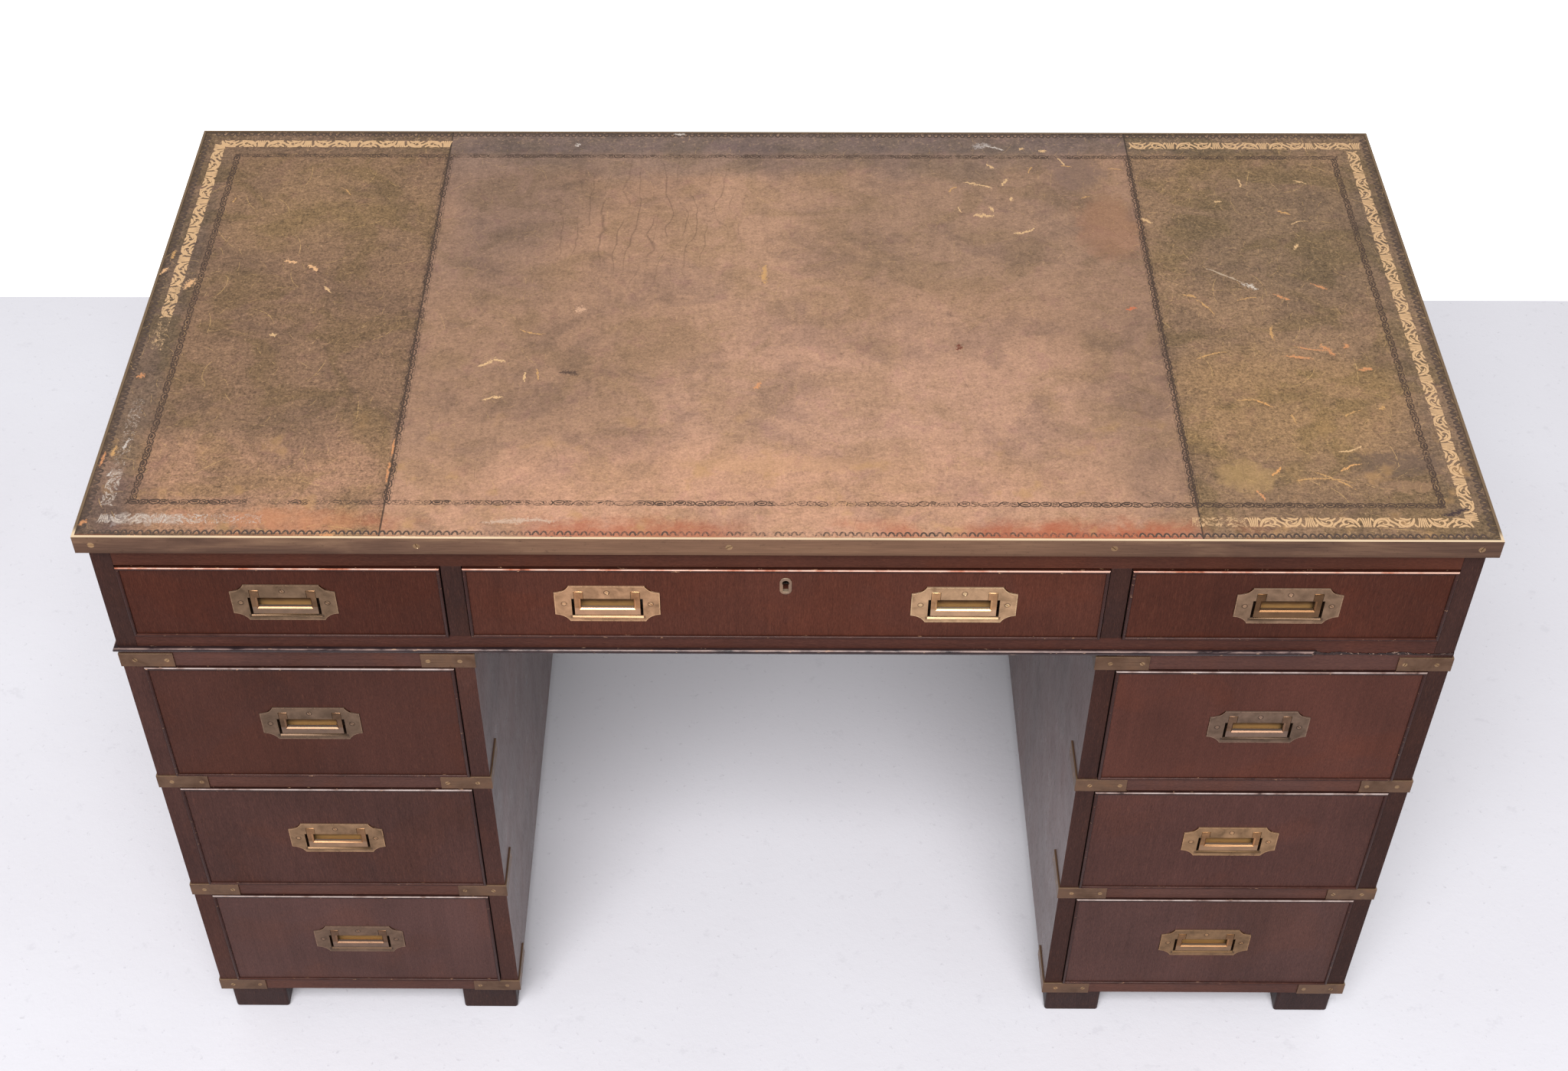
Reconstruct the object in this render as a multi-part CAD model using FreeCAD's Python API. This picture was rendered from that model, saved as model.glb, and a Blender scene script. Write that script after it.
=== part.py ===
import FreeCAD, Part
import math
import os
from collections import namedtuple

Vector = FreeCAD.Vector

# Campaign desk in millimetres: a leather-lined writing top over a frieze of three drawers,
# standing on two pedestals of three drawers each.
# The origin is on the floor under the middle of the desk, +X is to the sitter's right,
# +Y is towards the back and +Z is up.

# Overall sizes
desk_width = 1220.0
desk_depth = 608.0
desk_height = 738.0
top_overhang = 8.0
pedestal_width = 320.0

# Writing top, its leather and its brass edge band
top_thickness = 19.0
leather_thickness = 1.5
leather_sink = 0.3
band_thickness = 2.5
left_seam_share = -0.2844
right_seam_share = 0.2909

# Boards of the carcass
side_thickness = 18.0
back_thickness = 12.0
frieze_top_rail_height = 23.0
frieze_opening_height = 89.0
frieze_bottom_thickness = 20.0
pedestal_top_thickness = 21.0
rail_height = 18.0
rail_depth = 60.0
bottom_board_thickness = 18.0
runner_width = 24.0
opening_height_shares = (0.337, 0.335, 0.328)

# Bead moulding along the bottom of the frieze, broken away at the right front corner
bead_height = 5.5
bead_projection = 4.0
bead_break_x = 478.0
bead_break_slant = 5.0
bead_return_start = 30.0

# Block feet
foot_size = 58.0
foot_height = 46.0
foot_inset_side = 6.0
foot_inset_front = 7.0
foot_rounding = 3.0

# Brass corner straps
strap_height = 17.0
strap_thickness = 1.5
strap_leg = 48.0
strap_rise = 0.2
strap_screw_near = 12.5
strap_screw_far = 41.5

# Slotted countersunk screws
band_screw_head_radius = 3.0
band_screw_shank_radius = 1.5
band_screw_length = 14.0
strap_screw_head_radius = 2.3
strap_screw_shank_radius = 1.2
strap_screw_length = 12.0
pull_screw_head_radius = 2.4
pull_screw_shank_radius = 1.2
pull_screw_length = 12.0
screw_slot_width = 0.7
screw_slot_depth = 0.6
screw_turn_step = 37.0
front_band_screw_shares = (-0.975, -0.518, -0.080, 0.459, 0.972)
side_band_screw_shares = (-0.93, 0.0, 0.93)

# Drawers
drawer_side_gap = 0.8
drawer_bottom_gap = 0.4
drawer_top_gap = 1.2
drawer_back_gap = 20.0
front_thickness = 20.0
front_proud = 1.0
cockbead_width = 3.2
cockbead_proud = 2.0
cockbead_depth = 6.0
lining_thickness = 10.0
lining_drop = 6.0
drawer_bottom_thickness = 8.0
drawer_bottom_rise = 8.0
groove_depth = 4.0
dovetail_lap = 12.0
dovetail_pitch = 38.0
dovetail_base_share = 0.42
dovetail_flare = 2.5
stop_width = 40.0
stop_length = 30.0
stop_height = 6.0
stop_gap = 0.3
stop_place_share = 0.25

# Flush brass pulls
plate_width = 93.0
plate_height = 44.0
plate_thickness = 2.0
plate_let_in = 1.0
plate_edge_gap = 0.2
corner_notch_width = 13.0
corner_notch_height = 8.5
corner_notch_sag = 2.2
cup_width = 63.0
cup_top = 6.5
cup_bottom = -16.5
cup_depth = 11.0
cup_wall = 1.5
cup_lip_bevel = 1.4
hinge_block_depth = 6.5
hinge_block_top = 17.5
pull_pocket_gap = 0.3
pull_screw_side = 38.2
pull_screw_top = 14.4
centre_pull_inset = 125.0

# Bails of the pulls
bail_thickness = 4.0
bail_arm_width = 5.5
bail_lug_width = 8.0
bail_half_span = 29.0
bail_lug_bottom = 6.2
bail_bar_height = 7.8
bail_bar_bottom = -14.0
bail_bevel = 1.3
bail_gap = 0.3
bail_back_gap = 1.0
lug_slot_top = 15.7
pin_radius = 1.0
pin_seat_clearance = 0.02
pin_running_clearance = 0.06
pin_reach = 2.5

# Keyhole and lock of the centre drawer
escutcheon_width = 10.6
escutcheon_height = 19.9
escutcheon_thickness = 4.0
escutcheon_proud = 0.8
escutcheon_rise = 22.7
keyhole_radius = 3.1
keyhole_rise = 3.8
keyhole_slot_width = 4.8
keyhole_drop = 6.9
lock_width = 56.0
lock_height = 38.0
lock_depth = 11.0
lock_wall = 1.5
bolt_width = 22.0
bolt_thickness = 5.0
bolt_height = 27.0
bolt_gap = 0.3
bolt_mortise_gap = 1.0
bolt_mortise_depth = 9.0

# One overrun for every cut that has to break through a surface
overrun = 2.0

# Places worked out from the sizes above
half_width = desk_width / 2
half_depth = desk_depth / 2
carcass_x = half_width - top_overhang
front_y = top_overhang - half_depth
back_y = half_depth - top_overhang
back_board_y = back_y - back_thickness
kneehole_x = carcass_x - pedestal_width
partition_x = kneehole_x + side_thickness
opening_x = carcass_x - side_thickness
top_underside = desk_height - top_thickness
frieze_ceiling = top_underside - frieze_top_rail_height
frieze_floor = frieze_ceiling - frieze_opening_height
pedestal_top = frieze_floor - frieze_bottom_thickness
pedestal_ceiling = pedestal_top - pedestal_top_thickness
pedestal_floor = foot_height + bottom_board_thickness
centre_pull_x = kneehole_x - centre_pull_inset
face_y = front_y - front_proud
front_back_y = face_y + front_thickness
plate_y = face_y + plate_let_in - plate_thickness

Opening = namedtuple("Opening", "name x0 x1 z0 z1 pull_offsets")
Screw = namedtuple("Screw", "head_radius shank_radius length")
band_screw = Screw(band_screw_head_radius, band_screw_shank_radius, band_screw_length)
strap_screw = Screw(strap_screw_head_radius, strap_screw_shank_radius, strap_screw_length)
pull_screw = Screw(pull_screw_head_radius, pull_screw_shank_radius, pull_screw_length)


def box(x0, x1, y0, y1, z0, z1):
    return Part.makeBox(x1 - x0, y1 - y0, z1 - z0, Vector(x0, y0, z0))


def upright_prism(points, z0, z1):
    """A flat outline of (x, y) points raised from z0 to z1."""
    corners = [Vector(x, y, z0) for x, y in points]
    face = Part.Face(Part.makePolygon(corners + corners[:1]))
    return face.extrude(Vector(0, 0, z1 - z0))


def crosswise_prism(points, x0, x1):
    """An outline of (y, z) points drawn out along X."""
    corners = [Vector(x0, y, z) for y, z in points]
    face = Part.Face(Part.makePolygon(corners + corners[:1]))
    return face.extrude(Vector(x1 - x0, 0, 0))


def facing_prism(edges, y0, y1):
    """A closed outline of edges lying at y0, drawn back to y1."""
    face = Part.Face(Part.Wire(edges))
    return face.extrude(Vector(0, y1 - y0, 0))


def mirrored(shape):
    """The same piece on the other side of the desk."""
    return shape.mirror(Vector(0, 0, 0), Vector(1, 0, 0))


def save(name, *pieces):
    solids = [solid for piece in pieces for solid in piece.Solids]
    Part.makeCompound(solids).exportStep("parts/" + name + ".step")


def screw_shapes(kind, place, into, number):
    """The plain shape that a screw's hole has, and the screw with its slot."""
    head_depth = kind.head_radius - kind.shank_radius
    plain = Part.makeCone(kind.head_radius, kind.shank_radius, head_depth)
    plain = plain.fuse(Part.makeCylinder(kind.shank_radius, kind.length))
    half_slot = screw_slot_width / 2
    reach = kind.head_radius + overrun
    slot = box(-reach, reach, -half_slot, half_slot, -overrun, screw_slot_depth)
    slot.rotate(Vector(0, 0, 0), Vector(0, 0, 1), number * screw_turn_step)
    slotted = plain.cut(slot)
    seat = FreeCAD.Placement(place, FreeCAD.Rotation(Vector(0, 0, 1), into))
    plain.Placement = seat
    slotted.Placement = seat
    return plain, slotted


class ScrewSet:
    """Screws of the fixed carcass, kept so that what they pass through can be bored."""

    def __init__(self):
        self.plain = []
        self.slotted = []

    def add(self, kind, place, into):
        plain, slotted = screw_shapes(kind, place, into, len(self.plain))
        self.plain.append(plain)
        self.slotted.append(slotted)

    def bore(self, piece):
        near = [tool for tool in self.plain if piece.BoundBox.intersect(tool.BoundBox)]
        if not near:
            return piece
        return piece.cut(near)


def drawer_openings():
    """Every drawer opening of the carcass, with the places of its pulls across it."""
    openings = [
        Opening("left_frieze_drawer", -opening_x, -partition_x, frieze_floor, frieze_ceiling, (0.0,)),
        Opening("centre_frieze_drawer", -kneehole_x, kneehole_x, frieze_floor, frieze_ceiling,
                (-centre_pull_x, centre_pull_x)),
        Opening("right_frieze_drawer", partition_x, opening_x, frieze_floor, frieze_ceiling, (0.0,)),
    ]
    for z0, z1, level in pedestal_levels():
        openings.append(Opening("left_" + level + "_drawer", -opening_x, -partition_x, z0, z1, (0.0,)))
        openings.append(Opening("right_" + level + "_drawer", partition_x, opening_x, z0, z1, (0.0,)))
    return openings


def pedestal_levels():
    """Floor, ceiling and name of the three openings of a pedestal, from the top down."""
    clear_height = pedestal_ceiling - pedestal_floor - 2 * rail_height
    levels = []
    ceiling = pedestal_ceiling
    for share, level in zip(opening_height_shares, ("top", "middle", "bottom")):
        floor = ceiling - share * clear_height
        levels.append((floor, ceiling, level))
        ceiling = floor - rail_height
    return levels


def rail_undersides():
    """Undersides of the pedestal's top board, its two rails and its bottom board."""
    return [ceiling for floor, ceiling, level in pedestal_levels()] + [foot_height]


def add_carcass_screws(screws):
    band_z = desk_height - top_thickness / 2
    for share in front_band_screw_shares:
        screws.add(band_screw, Vector(share * half_width, -half_depth, band_z), Vector(0, 1, 0))
        screws.add(band_screw, Vector(share * half_width, half_depth, band_z), Vector(0, -1, 0))
    for share in side_band_screw_shares:
        screws.add(band_screw, Vector(-half_width, share * half_depth, band_z), Vector(1, 0, 0))
        screws.add(band_screw, Vector(half_width, share * half_depth, band_z), Vector(-1, 0, 0))
    for corner_x, inward in strap_corners():
        for underside in rail_undersides():
            z = underside + strap_rise + strap_height / 2
            for distance in (strap_screw_near, strap_screw_far):
                front = Vector(corner_x + inward * distance, front_y - strap_thickness, z)
                side = Vector(corner_x - inward * strap_thickness, front_y + distance, z)
                screws.add(strap_screw, front, Vector(0, 1, 0))
                screws.add(strap_screw, side, Vector(inward, 0, 0))


def strap_corners():
    """Front corners of the pedestals, each with the direction into its pedestal."""
    return ((-carcass_x, 1), (-kneehole_x, -1), (kneehole_x, 1), (carcass_x, -1))


def build_top(screws):
    inner_x = half_width - band_thickness
    inner_y = half_depth - band_thickness
    leather_top = desk_height - leather_sink
    leather_bottom = leather_top - leather_thickness
    board = box(-inner_x, inner_x, -inner_y, inner_y, top_underside, leather_bottom)
    save("writing_top", screws.bore(board))

    seams = (-inner_x, left_seam_share * desk_width, right_seam_share * desk_width, inner_x)
    for number, place in enumerate(("left", "centre", "right")):
        panel = box(seams[number], seams[number + 1], -inner_y, inner_y, leather_bottom, leather_top)
        save(place + "_leather_panel", panel)

    outer = ((-half_width, -half_depth), (half_width, -half_depth),
             (half_width, half_depth), (-half_width, half_depth))
    inner = ((-inner_x, -inner_y), (inner_x, -inner_y), (inner_x, inner_y), (-inner_x, inner_y))
    strips = []
    for corner in range(len(outer)):
        after = (corner + 1) % len(outer)
        outline = (outer[corner], outer[after], inner[after], inner[corner])
        strips.append(screws.bore(upright_prism(outline, top_underside, desk_height)))
    save("brass_edge_band", *strips)


def build_frieze():
    side = box(-carcass_x, -opening_x, front_y, back_y, pedestal_top, top_underside)
    save("frieze_sides", side, mirrored(side))
    save("frieze_bottom_board",
         box(-opening_x, opening_x, front_y, back_y, pedestal_top, frieze_floor))

    rail = box(-opening_x, opening_x, front_y, front_y + rail_depth, frieze_ceiling, top_underside)
    partition = box(-partition_x, -kneehole_x, front_y, back_board_y, frieze_floor, top_underside)
    partition = partition.cut(rail)
    save("frieze_partitions", partition, mirrored(partition))

    bolt_y = front_back_y - lock_depth / 2
    mortise_x = bolt_width / 2 + bolt_mortise_gap
    mortise_y = bolt_thickness / 2 + bolt_mortise_gap
    mortise = box(-mortise_x, mortise_x, bolt_y - mortise_y, bolt_y + mortise_y,
                  frieze_ceiling - overrun, frieze_ceiling + bolt_mortise_depth)
    save("frieze_top_rail", rail.cut(mortise))


def bead_profile_strip(start, along, outward):
    """A straight run of the bead's nosed section, before its ends are trimmed."""
    nose = bead_height / 2
    shoulder = outward * (bead_projection - nose)
    up = Vector(0, 0, bead_height)
    top = start + up
    tip = start + outward * bead_projection + up * 0.5
    edges = [
        Part.LineSegment(start, start + shoulder).toShape(),
        Part.Arc(start + shoulder, tip, top + shoulder).toShape(),
        Part.LineSegment(top + shoulder, top).toShape(),
        Part.LineSegment(top, start).toShape(),
    ]
    return Part.Face(Part.Wire(edges)).extrude(along)


def build_bead_moulding():
    """The front run with its broken right end, the left return and what is left of the right one."""
    outer_x = carcass_x + bead_projection
    outer_y = front_y - bead_projection
    z1 = pedestal_top + bead_height
    front = bead_profile_strip(Vector(-outer_x, front_y, pedestal_top),
                               Vector(outer_x + bead_break_x, 0, 0), Vector(0, -1, 0))
    front_outline = ((-outer_x, outer_y), (bead_break_x - bead_break_slant, outer_y),
                     (bead_break_x, front_y), (-carcass_x, front_y))
    front = front.common(upright_prism(front_outline, pedestal_top, z1))

    left = bead_profile_strip(Vector(-carcass_x, outer_y, pedestal_top),
                              Vector(0, back_y - outer_y, 0), Vector(-1, 0, 0))
    left_outline = ((-outer_x, outer_y), (-carcass_x, front_y), (-carcass_x, back_y), (-outer_x, back_y))
    left = left.common(upright_prism(left_outline, pedestal_top, z1))

    return_y = front_y + bead_return_start
    right = bead_profile_strip(Vector(carcass_x, return_y, pedestal_top),
                               Vector(0, back_y - return_y, 0), Vector(1, 0, 0))
    save("frieze_bead_moulding", front, left, right)


def build_pedestal(place, sign, screws):
    def placed(shape):
        return shape if sign < 0 else mirrored(shape)

    outer = placed(box(-carcass_x, -opening_x, front_y, back_y, foot_height, pedestal_top))
    inner = placed(box(-partition_x, -kneehole_x, front_y, back_y, foot_height, pedestal_top))
    save(place + "_pedestal_sides", screws.bore(outer), screws.bore(inner))

    boards = [
        box(-opening_x, -partition_x, front_y, back_board_y, pedestal_ceiling, pedestal_top),
        box(-opening_x, -partition_x, front_y, back_board_y, foot_height, pedestal_floor),
    ]
    for underside in rail_undersides()[1:-1]:
        boards.append(box(-opening_x, -partition_x, front_y, front_y + rail_depth,
                          underside, underside + rail_height))
    save(place + "_pedestal_boards", *[screws.bore(placed(board)) for board in boards])


def build_backs():
    """Boards that close the frieze and the two pedestals at the back."""
    frieze = box(-opening_x, opening_x, back_board_y, back_y, frieze_floor, top_underside)
    pedestal = box(-opening_x, -partition_x, back_board_y, back_y, foot_height, pedestal_top)
    save("carcass_backs", frieze, pedestal, mirrored(pedestal))


def build_runners(openings):
    """Runners behind the rails, kickers over the frieze drawers, and a pair of stops for each drawer."""
    runner_y = front_y + rail_depth
    pieces = []
    for underside in rail_undersides()[1:-1]:
        z1 = underside + rail_height
        for x0 in (-opening_x, -partition_x - runner_width):
            runner = box(x0, x0 + runner_width, runner_y, back_board_y, underside, z1)
            pieces += [runner, mirrored(runner)]
    for x0 in (-opening_x, -partition_x - runner_width, -kneehole_x):
        kicker = box(x0, x0 + runner_width, runner_y, back_board_y, frieze_ceiling, top_underside)
        pieces += [kicker, mirrored(kicker)]
    stop_y = front_back_y + stop_gap
    for opening in openings:
        for share in (stop_place_share, 1 - stop_place_share):
            x = opening.x0 + share * (opening.x1 - opening.x0)
            pieces.append(box(x - stop_width / 2, x + stop_width / 2, stop_y, stop_y + stop_length,
                              opening.z0, opening.z0 + stop_height))
    save("drawer_runners", *pieces)


def build_straps(screws):
    straps = []
    for corner_x, inward in strap_corners():
        for underside in rail_undersides():
            z0 = underside + strap_rise
            outer_x = corner_x - inward * strap_thickness
            end_x = corner_x + inward * strap_leg
            outer_y = front_y - strap_thickness
            end_y = front_y + strap_leg
            outline = ((outer_x, outer_y), (end_x, outer_y), (end_x, front_y),
                       (corner_x, front_y), (corner_x, end_y), (outer_x, end_y))
            straps.append(screws.bore(upright_prism(outline, z0, z0 + strap_height)))
    save("corner_straps", *straps)


def build_feet():
    feet = []
    outer_x = carcass_x - foot_inset_side
    inner_x = kneehole_x + foot_inset_side
    first_y = front_y + foot_inset_front
    last_y = back_y - foot_inset_front
    for x0 in (-outer_x, -inner_x - foot_size):
        for y0 in (first_y, last_y - foot_size):
            block = box(x0, x0 + foot_size, y0, y0 + foot_size, 0, foot_height)
            edges = [edge for edge in block.Edges if edge.CenterOfMass.z < foot_height]
            foot = block.makeFillet(foot_rounding, edges)
            feet += [foot, mirrored(foot)]
    save("block_feet", *feet)


def cockbead_strip(length):
    """One mitred strip along +X with its outer edge on the X axis and its nose to the front."""
    nose = cockbead_width / 2
    nose_y = face_y - cockbead_proud + nose
    back = face_y + cockbead_depth
    lower = -cockbead_width
    edges = [
        Part.LineSegment(Vector(0, back, 0), Vector(0, nose_y, 0)).toShape(),
        Part.Arc(Vector(0, nose_y, 0), Vector(0, nose_y - nose, -nose), Vector(0, nose_y, lower)).toShape(),
        Part.LineSegment(Vector(0, nose_y, lower), Vector(0, back, lower)).toShape(),
        Part.LineSegment(Vector(0, back, lower), Vector(0, back, 0)).toShape(),
    ]
    strip = Part.Face(Part.Wire(edges)).extrude(Vector(length, 0, 0))
    y0 = face_y - cockbead_proud
    corners = ((0, 0), (length, 0), (length - cockbead_width, lower), (cockbead_width, lower))
    points = [Vector(x, y0, z) for x, z in corners]
    mitre = Part.Face(Part.makePolygon(points + points[:1]))
    return strip.common(mitre.extrude(Vector(0, back - y0, 0)))


def cockbeads(x0, x1, z0, z1):
    """The four strips round a drawer front, each turned from the one before it."""
    starts = ((x0, z1, x1 - x0), (x1, z1, z1 - z0), (x1, z0, x1 - x0), (x0, z0, z1 - z0))
    strips = []
    for turn, (x, z, length) in enumerate(starts):
        strip = cockbead_strip(length)
        strip.rotate(Vector(0, 0, 0), Vector(0, 1, 0), turn * 90)
        strip.translate(Vector(x, 0, z))
        strips.append(strip)
    return strips


def dovetails(x0, x1, z0, z1):
    """Tails on the front end of a drawer side, wider at their tips."""
    count = max(2, round((z1 - z0) / dovetail_pitch))
    pitch = (z1 - z0) / count
    half_base = dovetail_base_share * pitch / 2
    tip_y = front_back_y - dovetail_lap
    tails = []
    for number in range(count):
        z = z0 + (number + 0.5) * pitch
        outline = ((front_back_y, z - half_base), (tip_y, z - half_base - dovetail_flare),
                   (tip_y, z + half_base + dovetail_flare), (front_back_y, z + half_base))
        tails.append(crosswise_prism(outline, x0, x1))
    return tails


def plate_outline(x, z, y, gap=0):
    """Edges of a pull's plate, or of its recess: straight sides and a hollow curve at each corner."""
    half_w = plate_width / 2 + gap
    half_h = plate_height / 2 + gap
    chord = math.hypot(corner_notch_width, corner_notch_height)
    turns = ((1, 1), (1, -1), (-1, -1), (-1, 1))
    ends = []
    for sx, sz in turns:
        by_edge = Vector(x + sx * (half_w - corner_notch_width), y, z + sz * half_h)
        by_side = Vector(x + sx * half_w, y, z + sz * (half_h - corner_notch_height))
        inward = Vector(-sx * corner_notch_height, 0, -sz * corner_notch_width) * (1 / chord)
        middle = (by_edge + by_side) * 0.5 + inward * corner_notch_sag
        first, last = (by_edge, by_side) if sx == sz else (by_side, by_edge)
        ends.append((first, middle, last))
    edges = []
    for corner, (first, middle, last) in enumerate(ends):
        following = ends[(corner + 1) % len(ends)][0]
        edges.append(Part.Arc(first, middle, last).toShape())
        edges.append(Part.LineSegment(last, following).toShape())
    return edges


def hinge_place(x, z):
    """Axis of a bail's pins: height and depth of the lug's rounded top."""
    radius = bail_thickness / 2
    return plate_y + radius, z + lug_slot_top - bail_gap - radius


def pull_pocket(x, z):
    """What a drawer front loses to one pull."""
    half_cup = cup_width / 2 + cup_wall + pull_pocket_gap
    low = z + cup_bottom - cup_wall - pull_pocket_gap
    deep = box(x - half_cup, x + half_cup, plate_y, plate_y + cup_depth + cup_wall + pull_pocket_gap,
               low, z + cup_top + cup_wall + pull_pocket_gap)
    shallow = box(x - half_cup, x + half_cup, plate_y, plate_y + hinge_block_depth + pull_pocket_gap,
                  low, z + hinge_block_top + pull_pocket_gap)
    recess = facing_prism(plate_outline(x, z, plate_y, plate_edge_gap), plate_y, plate_y + plate_thickness)
    return deep.fuse([shallow, recess])


def pull_screws(x, z):
    places = ((x - pull_screw_side, z), (x + pull_screw_side, z), (x, z + pull_screw_top))
    return [screw_shapes(pull_screw, Vector(px, plate_y, pz), Vector(0, 1, 0), number)
            for number, (px, pz) in enumerate(places)]


def pull_plate(x, z):
    """Plate, finger cup and hinge block cast in one, with the slots for the bail's lugs."""
    half_cup = cup_width / 2
    outer = half_cup + cup_wall
    plate = facing_prism(plate_outline(x, z, plate_y), plate_y, plate_y + plate_thickness)
    cup = box(x - outer, x + outer, plate_y + plate_thickness, plate_y + cup_depth + cup_wall,
              z + cup_bottom - cup_wall, z + cup_top + cup_wall)
    block = box(x - outer, x + outer, plate_y + plate_thickness, plate_y + hinge_block_depth,
                z + cup_top, z + hinge_block_top)
    casting = plate.fuse([cup, block])
    hollows = [box(x - half_cup, x + half_cup, plate_y - overrun, plate_y + cup_depth,
                   z + cup_bottom, z + cup_top)]
    lip = ((plate_y, z + cup_bottom - cup_lip_bevel), (plate_y + cup_lip_bevel, z + cup_bottom),
           (plate_y, z + cup_bottom))
    hollows.append(crosswise_prism(lip, x - half_cup, x + half_cup))
    slot_depth = bail_thickness + bail_back_gap
    inner_edge = bail_half_span - bail_lug_width - bail_gap
    outer_edge = bail_half_span + bail_gap
    for x0, x1 in ((-outer_edge, -inner_edge), (inner_edge, outer_edge)):
        hollows.append(box(x + x0, x + x1, plate_y - overrun, plate_y + slot_depth,
                           z + cup_top - overrun, z + lug_slot_top))
    casting = casting.cut(hollows)
    pin_y, pin_z = hinge_place(x, z)
    for start, length in pin_spans(x):
        hole = Part.makeCylinder(pin_radius + pin_seat_clearance, length,
                                 Vector(start, pin_y, pin_z), Vector(1, 0, 0))
        casting = casting.cut(hole)
    return casting.removeSplitter()


def pin_spans(x):
    """Start and length of the two hinge pins, each reaching into the block on both sides of its lug."""
    length = bail_lug_width + 2 * (bail_gap + pin_reach)
    left = x - bail_half_span - bail_gap - pin_reach
    right = x + bail_half_span - bail_lug_width - bail_gap - pin_reach
    return ((left, length), (right, length))


def pull_pins(x, z):
    pin_y, pin_z = hinge_place(x, z)
    return [Part.makeCylinder(pin_radius, length, Vector(start, pin_y, pin_z), Vector(1, 0, 0))
            for start, length in pin_spans(x)]


def bail(x, z):
    """A flat U: grip bar, two arms, and a lug with a rounded top round each hinge pin."""
    back = plate_y + bail_thickness
    pin_y, pin_z = hinge_place(x, z)
    lug_inner = bail_half_span - bail_lug_width
    arm_inner = bail_half_span - bail_arm_width
    bar_top = z + bail_bar_bottom + bail_bar_height
    shape = box(x - bail_half_span, x + bail_half_span, plate_y, back, z + bail_bar_bottom, bar_top)
    parts = []
    for side in (-1, 1):
        arm = sorted((x + side * arm_inner, x + side * bail_half_span))
        lug = sorted((x + side * lug_inner, x + side * bail_half_span))
        parts.append(box(arm[0], arm[1], plate_y, back, z + bail_bar_bottom, pin_z))
        parts.append(box(lug[0], lug[1], plate_y, back, z + bail_lug_bottom, pin_z))
        parts.append(Part.makeCylinder(bail_thickness / 2, bail_lug_width,
                                       Vector(lug[0], pin_y, pin_z), Vector(1, 0, 0)))
    shape = shape.fuse(parts).removeSplitter()
    shape = shape.makeChamfer(bail_bevel, inner_front_edges(shape, x, arm_inner, bar_top))
    reach = bail_half_span + overrun
    hole = Part.makeCylinder(pin_radius + pin_running_clearance, 2 * reach,
                             Vector(x - reach, pin_y, pin_z), Vector(1, 0, 0))
    return shape.cut(hole).removeSplitter()


def inner_front_edges(shape, x, arm_inner, bar_top):
    """Front edges of a bail round the gap for the fingers: along the bar and up both arms."""
    slack = bail_gap / 2
    edges = []
    for edge in shape.Edges:
        middle = edge.CenterOfMass
        along_bar = abs(middle.z - bar_top) < slack and abs(middle.x - x) < slack
        up_arm = abs(abs(middle.x - x) - arm_inner) < slack and middle.z > bar_top
        straight = abs(edge.Length - (edge.lastVertex().Point - edge.firstVertex().Point).Length) < slack
        if abs(middle.y - plate_y) < slack and straight and (along_bar or up_arm):
            edges.append(edge)
    return edges


def keyhole_edges(z, y):
    """Outline of the keyhole: a round top running into a straight slot."""
    half_slot = keyhole_slot_width / 2
    centre_z = z + keyhole_rise
    shoulder_z = centre_z - math.sqrt(keyhole_radius ** 2 - half_slot ** 2)
    left = Vector(-half_slot, y, shoulder_z)
    right = Vector(half_slot, y, shoulder_z)
    low_left = Vector(-half_slot, y, z - keyhole_drop)
    low_right = Vector(half_slot, y, z - keyhole_drop)
    return [
        Part.Arc(left, Vector(0, y, centre_z + keyhole_radius), right).toShape(),
        Part.LineSegment(right, low_right).toShape(),
        Part.LineSegment(low_right, low_left).toShape(),
        Part.LineSegment(low_left, left).toShape(),
    ]


def escutcheon_edges(z, y):
    """Outline of the escutcheon: straight sides between two half rounds."""
    radius = escutcheon_width / 2
    rise = escutcheon_height / 2 - radius
    corners = [Vector(sx * radius, y, z + sz * rise) for sx, sz in ((-1, 1), (1, 1), (1, -1), (-1, -1))]
    crown = Vector(0, y, z + escutcheon_height / 2)
    foot = Vector(0, y, z - escutcheon_height / 2)
    return [
        Part.Arc(corners[0], crown, corners[1]).toShape(),
        Part.LineSegment(corners[1], corners[2]).toShape(),
        Part.Arc(corners[2], foot, corners[3]).toShape(),
        Part.LineSegment(corners[3], corners[0]).toShape(),
    ]


def build_lock(front, top_z, middle_z):
    """Lets the lock and its escutcheon into the centre drawer's front, and returns that front."""
    z = middle_z + escutcheon_rise
    y0 = face_y - escutcheon_proud
    y1 = y0 + escutcheon_thickness
    case_y = front_back_y - lock_depth
    keyway = facing_prism(keyhole_edges(z, y0), y0, case_y + lock_wall + overrun)
    plug = facing_prism(escutcheon_edges(z, y0), y0, y1)
    save("keyhole_escutcheon", plug.cut(keyway))

    case = box(-lock_width / 2, lock_width / 2, case_y, front_back_y, top_z - lock_height, top_z)
    hollow = box(lock_wall - lock_width / 2, lock_width / 2 - lock_wall, case_y + lock_wall,
                 front_back_y - lock_wall, top_z - lock_height + lock_wall, top_z - lock_wall)
    bolt_y = front_back_y - lock_depth / 2
    bolt_low = top_z - bolt_gap - bolt_height
    bolt = box(-bolt_width / 2, bolt_width / 2, bolt_y - bolt_thickness / 2, bolt_y + bolt_thickness / 2,
               bolt_low, top_z - bolt_gap)
    slot = box(-bolt_width / 2 - bolt_gap, bolt_width / 2 + bolt_gap,
               bolt_y - bolt_thickness / 2 - bolt_gap, bolt_y + bolt_thickness / 2 + bolt_gap,
               bolt_low, top_z + overrun)
    save("centre_drawer_lock_case", case.cut([hollow, slot, keyway]))
    save("centre_drawer_lock_bolt", bolt)
    return front.cut([case, plug, keyway])


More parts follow.
